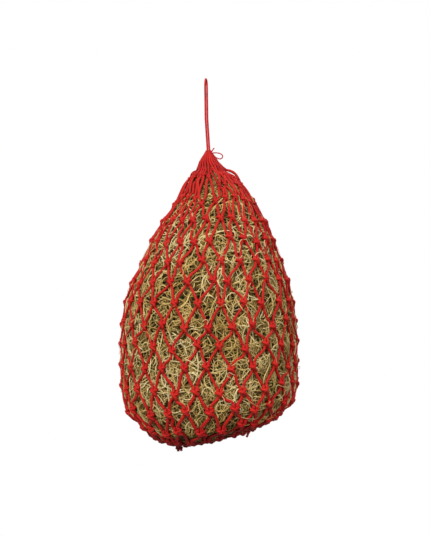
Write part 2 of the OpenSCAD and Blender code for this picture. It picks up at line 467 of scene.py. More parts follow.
def cord_lay_group() -> bpy.types.NodeTree:
    """Build the shared group that gives a cord's yarns from its place on the bake map.

    Around is the part of u left over in its column, and along is v. A twisted cord's height is the
    size of sin pi(yarns around + turns along). A plaited cord's is the greater of two such, one
    wound each way. Fluff is a noise stretched along the cord. Fade_and_light is the column's tone
    times the fluff: faded yarn, and on the drawn legs painted light and shade. Depth is 0 between
    the yarns and 1 on a yarn; the finishes paint shade where it is low.
    """
    bench = NodeBench.for_group(
        "cord_lay", ("Tones", "Yarns", "Turns", "Plait"), ("Height", "Depth", "Fade_and_light", "Fluff")
    )
    given = bench.add("NodeGroupInput").outputs
    result = bench.add("NodeGroupOutput").inputs
    parts = bench.add("ShaderNodeSeparateXYZ")
    bench.feed(parts.inputs[0], given["Place"])
    column = bench.maths("MULTIPLY", parts.outputs[0], given["Tones"])
    around = bench.maths("MULTIPLY", bench.maths("FRACT", column), given["Yarns"])
    along = bench.maths("MULTIPLY", parts.outputs[1], given["Turns"])
    waves = []
    for operation in ("ADD", "SUBTRACT"):
        turns = bench.maths("MULTIPLY", bench.maths(operation, around, along), math.pi)
        waves.append(bench.maths("ABSOLUTE", bench.maths("SINE", turns)))
    plaited = bench.maths("MULTIPLY", waves[1], given["Plait"])
    height = bench.maths("MAXIMUM", waves[0], plaited)
    bench.feed(result["Height"], height)
    bench.feed(result["Depth"], bench.ranged(height, 0.0, 0.75, 0.0, 1.0))
    fluff = bench.noise(bench.stretched(given["Place"], 260, 60), 1.0, 3.0)
    bench.feed(result["Fluff"], fluff)
    number = bench.maths("FLOOR", column)
    tone = bench.maths("FRACT", bench.maths("MULTIPLY", number, 0.618))
    uneven = bench.ranged(fluff, 0.3, 0.7, 0.5, 1.2)
    wear_and_shade = bench.maths("MULTIPLY", bench.ranged(tone, 0, 1, 0, 0.75), uneven)
    bench.feed(result["Fade_and_light"], wear_and_shade)
    return bench.tree


def stalk_grain_group() -> bpy.types.NodeTree:
    """Build the shared group that gives dry hay its blotches and fibres.

    Both are noises stretched along the stalk. Light is the blotch, ranged between the darkest and
    the lightest factor, times the fibre, ranged about one.
    """
    bench = NodeBench.for_group("stalk_grain", ("Darkest", "Lightest"), ("Light", "Fibre"))
    given = bench.add("NodeGroupInput").outputs
    result = bench.add("NodeGroupOutput").inputs
    blotch = bench.noise(bench.stretched(given["Place"], 90, 3.5), 1.0, 3.0)
    fibre = bench.noise(bench.stretched(given["Place"], 320, 5), 1.0, 2.0)
    light = bench.ranged(blotch, 0.3, 0.7, given["Darkest"], given["Lightest"])
    light = bench.maths("MULTIPLY", light, bench.ranged(fibre, 0.3, 0.7, 0.85, 1.1))
    bench.feed(result["Light"], light)
    bench.feed(result["Fibre"], fibre)
    return bench.tree


@dataclass(frozen=True)
class CordFinish:
    """A red cord.

    Attributes:
        name: The material's name.
        make: How the cord is made.
        tone_map: The bake map that its surfaces share.
        colour: The yarns' colour.
        faded_and_lit: The colour of the palest tone: faded yarn, and on the drawn legs painted
            light.
        groove_shade: Painted shade: the darker colour given between the yarns.
        yarns: How many yarns are seen round the cord.
        pitch: Cord length in which a yarn moves over by one.
        relief: How deep the yarns stand, as bump strength.
        roughness: The yarns' roughness.
    """

    name: str
    make: CordMake
    tone_map: ToneMap
    colour: tuple
    faded_and_lit: tuple
    groove_shade: tuple
    yarns: int
    pitch: float
    relief: float
    roughness: float

    def material(self, lay: bpy.types.NodeTree) -> bpy.types.Material:
        """Build the material.

        Args:
            lay: The shared cord_lay group.

        Returns:
            The material.
        """
        material = bpy.data.materials.new(self.name)
        material.use_nodes = True
        bench = NodeBench(material.node_tree)
        shader = material.node_tree.nodes["Principled BSDF"]
        place = bench.add("ShaderNodeUVMap", uv_map=BAKE_MAP).outputs[0]
        yarns = bench.add("ShaderNodeGroup", node_tree=lay)
        bench.feed(yarns.inputs["Place"], place)
        yarns.inputs["Tones"].default_value = self.tone_map.tones
        yarns.inputs["Yarns"].default_value = self.yarns
        yarns.inputs["Turns"].default_value = self.tone_map.span / self.pitch
        yarns.inputs["Plait"].default_value = float(self.make is CordMake.PLAITED)
        # The column's tone mixes in the palest tone: faded yarn, and on the drawn legs painted
        # light.
        colour = bench.blended(yarns.outputs["Fade_and_light"], self.colour, self.faded_and_lit)
        # Painted shade: the grooves between the yarns get the darker groove colour.
        colour = bench.blended(yarns.outputs["Depth"], self.groove_shade, colour)
        bench.feed(shader.inputs["Base Color"], colour)
        rough = bench.ranged(
            yarns.outputs["Fluff"], 0.3, 0.7, self.roughness - 0.08, self.roughness + 0.1
        )
        bench.feed(shader.inputs["Roughness"], rough)
        shader.inputs["Sheen Weight"].default_value = 0.03
        shader.inputs["Sheen Roughness"].default_value = 0.5
        shader.inputs["Specular IOR Level"].default_value = 0.25
        bump = bench.add("ShaderNodeBump")
        bump.inputs["Strength"].default_value = self.relief
        bump.inputs["Distance"].default_value = 0.0006
        fluff = bench.maths("MULTIPLY", yarns.outputs["Fluff"], 0.35)
        bench.feed(bump.inputs["Height"], bench.maths("ADD", yarns.outputs["Height"], fluff))
        bench.feed(shader.inputs["Normal"], bump.outputs[0])
        return material


@dataclass(frozen=True)
class HayFinish:
    """Dry hay: u on the bake map is a stalk's tone, and v runs along the stalk.

    Attributes:
        name: The material's name.
        stops: Colours across the tones.
        lightest: Factor on the palest parts of a stalk.
        darkest: Factor on its darkest parts.
        roughness: The stalks' roughness.
    """

    name: str
    stops: tuple
    lightest: float
    darkest: float
    roughness: float

    def material(self, grain: bpy.types.NodeTree) -> bpy.types.Material:
        """Build the material.

        Args:
            grain: The shared stalk_grain group.

        Returns:
            The material.
        """
        material = bpy.data.materials.new(self.name)
        material.use_nodes = True
        bench = NodeBench(material.node_tree)
        shader = material.node_tree.nodes["Principled BSDF"]
        place = bench.add("ShaderNodeUVMap", uv_map=BAKE_MAP).outputs[0]
        parts = bench.add("ShaderNodeSeparateXYZ")
        bench.feed(parts.inputs[0], place)
        tone = bench.ramp(parts.outputs[0], list(self.stops))
        stalk = bench.add("ShaderNodeGroup", node_tree=grain)
        bench.feed(stalk.inputs["Place"], place)
        stalk.inputs["Darkest"].default_value = self.darkest
        stalk.inputs["Lightest"].default_value = self.lightest
        fibre = stalk.outputs["Fibre"]
        colour = bench.scaled_colour(tone, stalk.outputs["Light"])
        bench.feed(shader.inputs["Base Color"], colour)
        rough = bench.ranged(fibre, 0.3, 0.7, self.roughness - 0.1, self.roughness + 0.1)
        bench.feed(shader.inputs["Roughness"], rough)
        shader.inputs["Specular IOR Level"].default_value = 0.3
        bump = bench.add("ShaderNodeBump")
        bump.inputs["Strength"].default_value = 0.4
        bump.inputs["Distance"].default_value = 0.0004
        bench.feed(bump.inputs["Height"], fibre)
        bench.feed(shader.inputs["Normal"], bump.outputs[0])
        return material


DRAW_MAP = ToneMap(tones=4, span=50 * MM)
TWINE_MAP = ToneMap(tones=8, span=50 * MM)

DRAW_CORD_FINISH = CordFinish(
    name="plaited_red_cord",
    make=CordMake.PLAITED,
    tone_map=DRAW_MAP,
    colour=srgb(200, 12, 18),
    faded_and_lit=srgb(212, 40, 44),
    groove_shade=srgb(172, 8, 14),
    yarns=6,
    pitch=2.5 * MM,
    relief=0.3,
    roughness=0.5,
)
BOW_CORD_FINISH = CordFinish(
    name="thin_red_cord",
    make=CordMake.TWISTED,
    tone_map=DRAW_MAP,
    colour=srgb(198, 12, 14),
    faded_and_lit=srgb(208, 36, 34),
    groove_shade=srgb(150, 6, 10),
    yarns=3,
    pitch=2.5 * MM,
    relief=0.4,
    roughness=0.55,
)
TWINE_FINISH = CordFinish(
    name="red_netting_twine",
    make=CordMake.TWISTED,
    tone_map=TWINE_MAP,
    colour=srgb(198, 11, 6),
    faded_and_lit=srgb(208, 44, 20),
    groove_shade=srgb(146, 7, 4),
    yarns=3,
    pitch=5.0 * MM,
    relief=0.7,
    roughness=0.6,
)
# The drawn legs: a darker colour and a paler tone, given to legs at random, paint shaded and lit
# legs.
DRAWN_SHADED_TWINE_FINISH = replace(
    TWINE_FINISH,
    name="drawn_shaded_red_twine",
    colour=srgb(172, 8, 6),
    faded_and_lit=srgb(220, 40, 24),
    groove_shade=srgb(150, 6, 4),
    pitch=8.0 * MM,
    relief=0.3,
)
# Darker twine for the lowest courses and the bottom gather: painted shade at the foot of the net.
FOOT_SHADE_TWINE_FINISH = replace(
    TWINE_FINISH,
    name="shaded_foot_red_twine",
    colour=srgb(162, 9, 5),
    faded_and_lit=srgb(172, 32, 16),
    groove_shade=srgb(104, 5, 3),
)
STALK_FINISH = HayFinish(
    name="hay_stalks",
    stops=(
        (0.0, srgb(246, 226, 166)),
        (0.12, srgb(226, 196, 122)),
        (0.32, srgb(204, 168, 92)),
        (0.48, srgb(182, 148, 76)),
        (0.62, srgb(150, 130, 66)),
        (0.74, srgb(122, 104, 50)),
        (0.86, srgb(98, 66, 32)),
        (0.96, srgb(98, 108, 44)),
    ),
    lightest=1.15,
    darkest=0.72,
    roughness=0.72,
)
# The hearts are dark: painted shade deep in the hay, seen through the gaps between stalks.
HEART_SHADE_FINISH = HayFinish(
    name="hay_heart_shade",
    stops=((0.0, srgb(58, 42, 24)), (0.5, srgb(44, 31, 18)), (1.0, srgb(60, 46, 26))),
    lightest=1.3,
    darkest=0.6,
    roughness=0.85,
)


# ---------------------------------------------------------------------------- the net's shape


@dataclass
class FilledNet:
    """The shape that the hay gives the net, as rings down from the mouth.

    A station holds a ring centre's shift across and fore as shares of the lean, its drop below the
    mouth as a share of the height, its radius as a share of half the width, and its tilt in
    degrees.

    Attributes:
        width: The net's width.
        height: Its height from the mouth to the last ring.
        lean: The unit of the rings' shifts.
        mouth_x: How far the mouth lies to one side of the hook.
        mouth_z: The mouth's height.
        first_course: Length run down from the mouth to the first course of knots.
        last_station: Station of the last course.
        tuck: How far the net is pressed in low on the left.
        lift: How far it is pressed in low on the right.
        pressed: Stations, and the share of the tuck and the lift that is felt at each.
        press_focus: How closely the pressing keeps to the left and the right.
        meshes_round: How many knots a course has.
        courses: How many courses there are.
        stations: The rings, from the mouth down.
        rings: The rings in metres and radians: x, y, z, radius and tilt.
        walk: Stations at small, even steps.
        lengths: The length run down to each step.
        counts: The course number at each step.
    """

    width: float = 414 * MM
    height: float = 676 * MM
    lean: float = 70 * MM
    mouth_x: float = 4 * MM
    mouth_z: float = -188.3 * MM
    first_course: float = 80 * MM
    last_station: float = 15.8
    tuck: float = 14 * MM
    lift: float = 6 * MM
    pressed: tuple = ((12.2, 13.6, 16.2, 17), (0, 1, 0.8, 0))
    press_focus: float = 4
    meshes_round: int = 24
    courses: int = 15
    stations: tuple = (
        (0, 0, 0, 0.03, 0), (0.07, 0, 0.04, 0.165, 0), (0.15, 0, 0.082, 0.3, 0),
        (0.2, 0, 0.128, 0.395, 0), (0.17, 0, 0.186, 0.51, 0), (0.1, 0, 0.27, 0.665, 0),
        (0.05, 0, 0.355, 0.78, 0), (-0.01, 0, 0.44, 0.892, 0), (-0.05, 0, 0.525, 0.965, 0),
        (-0.07, 0, 0.61, 0.995, 0), (-0.07, 0, 0.695, 1, 0), (-0.06, 0, 0.78, 0.995, 1),
        (-0.06, 0, 0.845, 0.965, 2.5), (-0.04, -0.02, 0.9, 0.87, 5), (-0.08, -0.06, 0.942, 0.72, 7),
        (-0.26, -0.12, 0.968, 0.53, 8), (-0.5, -0.2, 0.983, 0.33, 8), (-0.85, -0.3, 0.991, 0.08, 8),
    )  # fmt: skip
    rings: Array = field(init=False)
    walk: Array = field(init=False)
    lengths: Array = field(init=False)
    counts: Array = field(init=False)

    def __post_init__(self) -> None:
        """Work out the rings, the length run down to each, and the count of courses.

        Where the net is wide its meshes are pulled open, so the courses lie closer: their pitch is
        the root of a twine's length squared less half a mesh's width squared.
        """
        share = np.array(self.stations, float)
        self.rings = np.stack(
            [
                self.mouth_x + self.lean * share[:, 0],
                self.lean * share[:, 1],
                self.mouth_z - self.height * share[:, 2],
                self.width / 2 * share[:, 3],
                np.radians(share[:, 4]),
            ],
            axis=1,
        )
        self.walk = np.arange(0, len(share) - 1 + 1e-9, 0.05)
        walked = self.ring_at(self.walk)
        steps = np.linalg.norm(np.diff(walked[:, :4], axis=0), axis=1)
        self.lengths = np.concatenate([[0], np.cumsum(steps)])
        run = self.length_at(self.last_station) - self.first_course
        half_mesh = 0.75 * math.pi * self.width / 2 / self.meshes_round
        twine = math.hypot(run / (self.courses - 1), half_mesh)
        pitch = np.sqrt(twine**2 - (np.pi * walked[:, 3] / self.meshes_round) ** 2)
        counts = np.concatenate([[0], np.cumsum(steps / pitch[:-1])])
        first_u = float(np.interp(self.first_course, self.lengths, self.walk))
        first, last = np.interp([first_u, self.last_station], self.walk, counts)
        self.counts = 1 + (counts - first) * (self.courses - 1) / (last - first)

    def ring_at(self, u: Array) -> Array:
        """Give the smooth ring between stations.

        Args:
            u: Stations and parts of one.

        Returns:
            Centre x and y, height, radius and tilt, shaped (..., 5).
        """
        last = len(self.rings) - 1
        u = np.asarray(u, float)
        i = np.clip(np.floor(u).astype(int), 0, last - 1)
        picks = (np.maximum(i - 1, 0), i, i + 1, np.minimum(i + 2, last))
        return smoothed(*(self.rings[pick] for pick in picks), (u - i)[..., None])

    def length_at(self, u: Array) -> Array:
        """Give the length run down the net at a station."""
        return np.interp(u, self.walk, self.lengths)

    def u_at_length(self, length: Array) -> Array:
        """Give the station at a length run down the net."""
        return np.interp(length, self.lengths, self.walk)

    def course_u(self, course: Array) -> Array:
        """Give the station of a course, or of a place between two courses."""
        return np.interp(course, self.counts, self.walk)

    def course_at(self, u: Array) -> Array:
        """Give the course number, with its fraction, at a station."""
        return np.interp(u, self.walk, self.counts)

    def slope(self, u: Array) -> tuple[Array, Array]:
        """Give the unit step down the net's profile, as change of radius and of height."""
        last = len(self.rings) - 1
        step = self.ring_at(np.minimum(u + 0.02, last)) - self.ring_at(np.maximum(u - 0.02, 0))
        run = np.hypot(step[..., 2], step[..., 3])
        return step[..., 3] / run, step[..., 2] / run

    def legs(self) -> tuple[Array, Array, Array]:
        """Give two legs for each knot: its place, their sides, and its turn in an odd course."""
        place = np.repeat(np.arange(self.meshes_round), 2)
        side = np.tile([-1.0, 1.0], self.meshes_round)
        return place, side, ((place + 0.5) * 2 * np.pi / self.meshes_round)[:, None]

    def point(self, u: Array, turn: Array, out: Array | float = 0.0) -> Array:
        """Give a point on the net, or some way outside it.

        The way out is first lessened by the station's share of tuck exp(focus (-cos(turn) - 1)) +
        lift exp(focus (cos(turn) - 1)). With radius r and height z from the ring moved square to
        the profile by it, the point is centre + r cos(turn) along the ring's tilt + r sin(turn)
        along Y + z.

        Args:
            u: Stations.
            turn: Angles round the net, in radians.
            out: How far outside the net.

        Returns:
            Points, shaped (..., 3).
        """
        u, turn, out = np.broadcast_arrays(u, turn, out)
        left = np.exp(self.press_focus * (-np.cos(turn) - 1))
        right = np.exp(self.press_focus * (np.cos(turn) - 1))
        out = out - np.interp(u, *self.pressed) * (self.tuck * left + self.lift * right)
        ring = self.ring_at(u)
        radial, downward = self.slope(u)
        r = ring[..., 3] - out * downward
        z = ring[..., 2] + out * radial
        reach = r * np.cos(turn)
        tilt = ring[..., 4]
        return np.stack(
            [
                ring[..., 0] + reach * np.cos(tilt),
                ring[..., 1] + r * np.sin(turn),
                z + reach * np.sin(tilt),
            ],
            axis=-1,
        )

    def axes(self, u: Array, turn: Array) -> Array:
        """Give the local axes on the net: round it, up it, and outwards, as rows."""
        u, turn = np.broadcast_arrays(u, turn)
        radial, downward = self.slope(u)
        tilt = self.ring_at(u)[..., 4]
        across = np.stack([-np.sin(turn), np.cos(turn), np.zeros_like(turn)], axis=-1)

        def lifted(r: Array, z: Array) -> Array:
            """Turn a radial and an upward share into a direction."""
            reach = r * np.cos(turn)
            return np.stack(
                [reach * np.cos(tilt), r * np.sin(turn), z + reach * np.sin(tilt)], axis=-1
            )

        upward = lifted(-radial, -downward)
        outward = unit(np.cross(across, upward))
        return np.stack([across, unit(np.cross(outward, across)), outward], axis=-2)


@dataclass
class KnotPlaces:
    """Where each knot of each course lies, and how it is turned.

    Attributes:
        net: The net's shape.
        shift: How far a knot may lie from its even place.
        first_shift: How far up or down a knot of the first course may lie from its even place.
        roll: How far a knot may be turned, in radians.
        centres: Knot centres, shaped (courses + 1, meshes round, 3), with row 0 unused.
        axes: The knots' axes as rows, shaped (courses + 1, meshes round, 3, 3).
        scale: The knots' size in each course, which crowding makes smaller.
        bunch: How much thicker the twine looks in each course, where it bunches under the hay.
    """

    net: FilledNet
    shift: float = 8 * MM
    first_shift: float = 24 * MM
    roll: float = 0.28
    centres: Array = field(init=False)
    axes: Array = field(init=False)
    scale: Array = field(init=False)
    bunch: Array = field(init=False)

    def __post_init__(self) -> None:
        """Set the knots out evenly, then move and turn each a little."""
        chance = np.random.default_rng(11)
        course = np.arange(self.net.courses + 1)[:, None]
        place = np.arange(self.net.meshes_round)[None]
        turn = (place + (course % 2) / 2) * 2 * np.pi / self.net.meshes_round
        u = np.broadcast_to(self.net.course_u(course), turn.shape)
        size = turn.shape
        moved = chance.normal(0, 0.5, (*size, 2)).clip(-1, 1) * self.shift
        moved[1:4, :, 1] *= np.array([[1.0], [0.75], [0.5]]) * self.first_shift / self.shift
        moved[1:3, :, 1] += np.array([[4], [2]]) * MM
        room = np.pi * self.net.ring_at(u)[..., 3] / self.net.meshes_round
        moved[..., 0] *= np.minimum(1, room / (20 * MM))
        turn = turn + moved[..., 0] / self.net.ring_at(u)[..., 3].clip(20 * MM)
        u = self.net.u_at_length(self.net.length_at(u) - moved[..., 1])
        straight = self.net.axes(u, turn)
        out = 1.0 * MM + chance.uniform(-0.8, 0.8, size) * MM
        self.centres = self.net.point(u, turn, out)
        crowded = [self.net.courses - 5, self.net.courses - 2]
        self.bunch = np.interp(course[:, 0], crowded, [1, 1.28])
        self.scale = np.interp(room[:, 0], [8 * MM, 15 * MM], [0.62, 1.12]) * self.bunch
        roll = chance.normal(0, 0.5, size).clip(-1, 1)[..., None] * self.roll
        across = straight[..., 0, :] * np.cos(roll) + straight[..., 1, :] * np.sin(roll)
        up = straight[..., 1, :] * np.cos(roll) - straight[..., 0, :] * np.sin(roll)
        self.axes = np.stack([across, up, straight[..., 2, :]], axis=-2)

    def at(self, course: int, place: Array, local: Array) -> Array:
        """Give points fixed to knots of a course, from their place in the knots' own axes."""
        place = place % self.net.meshes_round
        axes = self.axes[course, place] * self.scale[course]
        return self.centres[course, place] + np.einsum("kj,kji->ki", local, axes)

    def along(self, course: int, place: Array, local: Array) -> Array:
        """Turn directions in the knots' own axes into the model's."""
        return np.einsum("kj,kji->ki", local, self.axes[course, place % self.net.meshes_round])


# ---------------------------------------------------------------------------- draw cord


def in_metres(points: tuple) -> Array:
    """Turn a route in millimetres into metres."""
    return np.array(points, float) * MM


@dataclass
class DrawCord:
    """The doubled cord that the net hangs by, its slip knot and bow, and its turn below.

    Attributes:
        diameter: The cord's diameter.
        bow_diameter: Diameter of the thin cord of the bow.
        gap: The clearance between its two strands.
        loop_foot: Height at which the hanging loop's legs become the strands.
        strand_foot: Height at which the upper strands become the lower ones.
        bend: Height below which the strands lean towards the mouth.
        knot_top: Height of the slip knot's top.
        knot_width: The slip knot's diameter.
        knot_height: The slip knot's height.
        neck: Diameter of the bunched loops inside the cord's turn.
        bite: How far the turn bites into them.
        mouth_x: How far the mouth lies to one side of the hook.
        tail: Length of the cut tail beside the knot.
        loop_route: Half of the loop: across as a share of the strands' shift, then fore and up, in
            millimetres from half a cord above the hook.
        bow_route: The bow: across from the knot's side, fore, and up from the knot's top.
        across_route: The strand across the slip knot, in millimetres from the knot's middle.
    """

    diameter: float = 4.4 * MM
    bow_diameter: float = 2.7 * MM
    gap: float = 0.3 * MM
    loop_foot: float = -72 * MM
    strand_foot: float = -110 * MM
    bend: float = -92 * MM
    knot_top: float = -170 * MM
    knot_width: float = 17 * MM
    knot_height: float = 13 * MM
    neck: float = 16 * MM
    bite: float = 2 * MM
    mouth_x: float = 4 * MM
    tail: float = 14 * MM
    loop_route: tuple = (
        (-1, 0, -53.7), (-1, -0.6, -46), (-1, -2.6, -38), (-1, -5.6, -30), (-1, -8.4, -22),
        (-0.95, -10.3, -15), (-0.85, -10.7, -10.7), (-0.75, -9.9, -6.6), (-0.55, -7.6, -3.1),
        (-0.3, -4.1, -0.8), (0, 0, 0),
    )  # fmt: skip
    bow_route: tuple = (
        (0.9, -1, -4.5), (6.5, -3, -4), (13.5, -5, -4.6), (20, -6, -6.8), (24.6, -6.5, -11.2),
        (23.4, -6, -16.6), (18, -5, -18.8), (11.6, -4, -16.8), (6.2, -3, -13), (0.9, -2, -11.4),
    )  # fmt: skip
    across_route: tuple = (
        (-1, 3.5, -6.2), (-5.6, 0.6, -5.4), (-5.6, -4.6, -4), (-1.6, -8, -1.2), (2.6, -7.6, 2.4),
        (6, -3.4, 4.8), (5.2, 1.4, 5.6), (1.4, 3.2, 3.6),
    )  # fmt: skip

    @property
    def strand_x(self) -> float:
        """How far each strand lies from the middle."""
        return self.diameter / 2 + self.gap / 2

    @property
    def knot_centre(self) -> Array:
        """The middle of the slip knot."""
        return np.array([self.mouth_x, 0, self.knot_top - self.gap - self.knot_height / 2])

    def strand(self, side: int, top: float, foot: float) -> Array:
        """Walk up one strand, which leans towards the mouth below the bend.

        Args:
            side: -1 for the left strand, 1 for the right one.
            top: Height of its upper end.
            foot: Height of its lower end.

        Returns:
            Points from the foot to the top.
        """
        z = np.linspace(foot, top, 1 + round((top - foot) / (2.2 * MM)))
        lean = self.mouth_x * np.clip((self.bend - z) / (self.bend - self.knot_top), 0, None)
        return np.stack([side * self.strand_x + lean, np.zeros_like(z), z], axis=1)

    def loop(self) -> Array:
        """Walk from the left leg's foot over the hook to the right leg's foot."""
        half = np.array(self.loop_route, float) * [self.strand_x / MM, 1, 1] * MM
        half[:, 2] += self.diameter / 2
        leg = [[-self.strand_x, 0, z] for z in (self.loop_foot, self.loop_foot + 9 * MM)]
        left = np.vstack([leg, half])
        return smooth_route(np.vstack([left, (left * [-1, -1, 1])[-2::-1]]), 84)

    def helix(self, radius: float, turns: float, first: float, top: float, foot: float) -> Array:
        """Wind about the mouth's axis: x = r cos t, y = r sin t, while z falls from top to foot.

        Args:
            radius: The winding's radius.
            turns: How many turns it takes.
            first: The turn it starts at, as a share of one.
            top: Height of its start.
            foot: Height of its end.

        Returns:
            Points about 20 to a turn.
        """
        t = 2 * np.pi * np.linspace(first, first + turns, 1 + round(20 * turns))
        z = np.linspace(top, foot, len(t))
        return np.stack([self.mouth_x + radius * np.cos(t), radius * np.sin(t), z], axis=1)

    def knot_surface(self) -> Surface:
        """Build the slip knot: two wraps round both strands, one across them, and the tail."""
        x, _, z = self.knot_centre
        radius = self.knot_width / 2 - 0.55 * self.diameter
        wraps = self.helix(radius, 2.1, 0.1, z + 4.2 * MM, z - 4.2 * MM)
        across = self.knot_centre + in_metres(self.across_route)
        inner = [
            np.linspace([strand, 0, z + 8 * MM], [strand, 0, z - 9 * MM], 8)
            for strand in (x - self.strand_x, x + self.strand_x)
        ]
        way = np.array([0.45, -0.3, 0.84])
        out = np.array([math.cos(math.radians(-55)), math.sin(math.radians(-55)), 0])
        root = np.array([x, 0, self.knot_top - 5 * MM])
        root = root + (self.knot_width / 2 + self.bow_diameter / 2 + self.gap) * out
        tail = np.array([root - 7 * MM * out - 3 * MM * way, root, root + 0.5 * self.tail * way])
        tail = smooth_route(np.vstack([tail, root + self.tail * (way + [0.1, 0, 0])]), 12)
        swell = np.full(12, self.bow_diameter / 2)
        swell[-2:] *= [1.25, 0.9]
        cords = [
            rope(smooth_route(route, 44), self.diameter, 10, hint, DRAW_MAP, 0, start)
            for route, hint, start in ((wraps, (0, 0, 1), 0.1), (across, (0, -1, 0.2), 0.5))
        ]
        cords += [rope(route, self.diameter, 8, (1, 0, 0), DRAW_MAP, 0) for route in inner]
        hint, tone = np.array([1.0, 0, 0]), np.array([2])
        cords.append(tubes(tail[None], swell[None], 8, hint, DRAW_MAP, tone, np.zeros(1)))
        return Surface.joined(cords)

    def turn_surface(self) -> Surface:
        """Build the turn and a half that the cord takes round the bunched loops."""
        foot = self.knot_top - self.gap - self.knot_height
        radius = self.neck / 2 + self.gap + self.diameter / 2 - self.bite
        winding = self.helix(radius, 1.6, 0.55, foot - 0.4 * MM, foot - 5.2 * MM)
        inward = (self.mouth_x, 0, foot + 5 * MM)
        first = 0.55 * winding[0] + 0.45 * np.array(inward)
        last = 0.4 * winding[-1] + 0.6 * np.array(inward)
        route = smooth_route(np.vstack([inward, first, winding, last]), 60)
        return rope(route, self.diameter, 10, (0, 0, 1), DRAW_MAP, 1, 0.3)

    def build(self, plaited: bpy.types.Material, thin: bpy.types.Material) -> None:
        """Make the cords and knots, and say how each moves.

        Args:
            plaited: The draw cord's finish.
            thin: The bow's finish.
        """
        loop = self.loop()
        into_knot = self.knot_top - 1 * MM
        upper = {side: self.strand(side, self.loop_foot, self.strand_foot) for side in (-1, 1)}
        lower = {side: self.strand(side, self.strand_foot, into_knot) for side in (-1, 1)}
        # The cord runs up the left strands, over the hook and down the right ones.
        run, routes = 0.0, []
        for name, node, route in (
            ("lower_strand_left_cord", "lower_strand_left", lower[-1]),
            ("upper_strand_left_cord", "upper_strand_left", upper[-1]),
            ("hanging_loop_cord", "hanging_loop", loop),
            ("upper_strand_right_cord", "upper_strand_right", upper[1][::-1]),
            ("lower_strand_right_cord", "lower_strand_right", lower[1][::-1]),
        ):
            routes.append((name, node, route, run / DRAW_MAP.span))
            run += route_length(route)
        for name, node, route, start in routes:
            surface = rope(route, self.diameter, 14, (1, 0, 0), DRAW_MAP, 0, start)
            cord = add_piece(name, surface, plaited, (node,))
            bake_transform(cord)

        knot = add_piece(
            "slip_knot_wraps", self.knot_surface(), plaited, ("slip_knot", "cord_tail")
        )
        turn = add_piece(
            "mouth_turn_cord", self.turn_surface(), plaited, ("mouth_turn",)
        )
        side = np.array([self.mouth_x + self.knot_width / 2, 0, self.knot_top])
        route = smooth_route(side + in_metres(self.bow_route), 48)
        surface = rope(route, self.bow_diameter, 8, (0, 1, 0), DRAW_MAP, 1)
        bow = add_piece("bow_loop_cord", surface, thin, ("bow_loop",))
        for piece in (knot, turn, bow):
            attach(piece, "net")


# ---------------------------------------------------------------------------- netting


def bent_between(first: Array, first_way: Array, last: Array, last_way: Array, rings: int) -> Array:
    """Bend lines from one end to the other, each leaving and arriving along a given way.

    A point is (2s³ - 3s² + 1) first + (s³ - 2s² + s) way + (3s² - 2s³) last + (s³ - s²) way, with
    the ways as long as the line.

    Args:
        first: Where the lines start, shaped (lines, 3).
        first_way: Their directions there.
        last: Where they end.
        last_way: Their directions there.
        rings: How many points each has.

    Returns:
        Points, shaped (lines, rings, 3).
    """
    s = np.linspace(0, 1, rings)[None, :, None]
    size = np.linalg.norm(last - first, axis=1)[:, None]
    ways = [unit(way) * size for way in (first_way, last_way)]
    return (
        (2 * s**3 - 3 * s**2 + 1) * first[:, None]
        + (s**3 - 2 * s**2 + s) * ways[0][:, None]
        + (3 * s**2 - 2 * s**3) * last[:, None]
        + (s**3 - s**2) * ways[1][:, None]
    )


def in_plane(across: Array, up: float) -> Array:
    """Give vectors in a knot's own axes: across by each of these, and up by one number."""
    return np.stack([across, np.full_like(across, up), np.zeros_like(across)], axis=1)


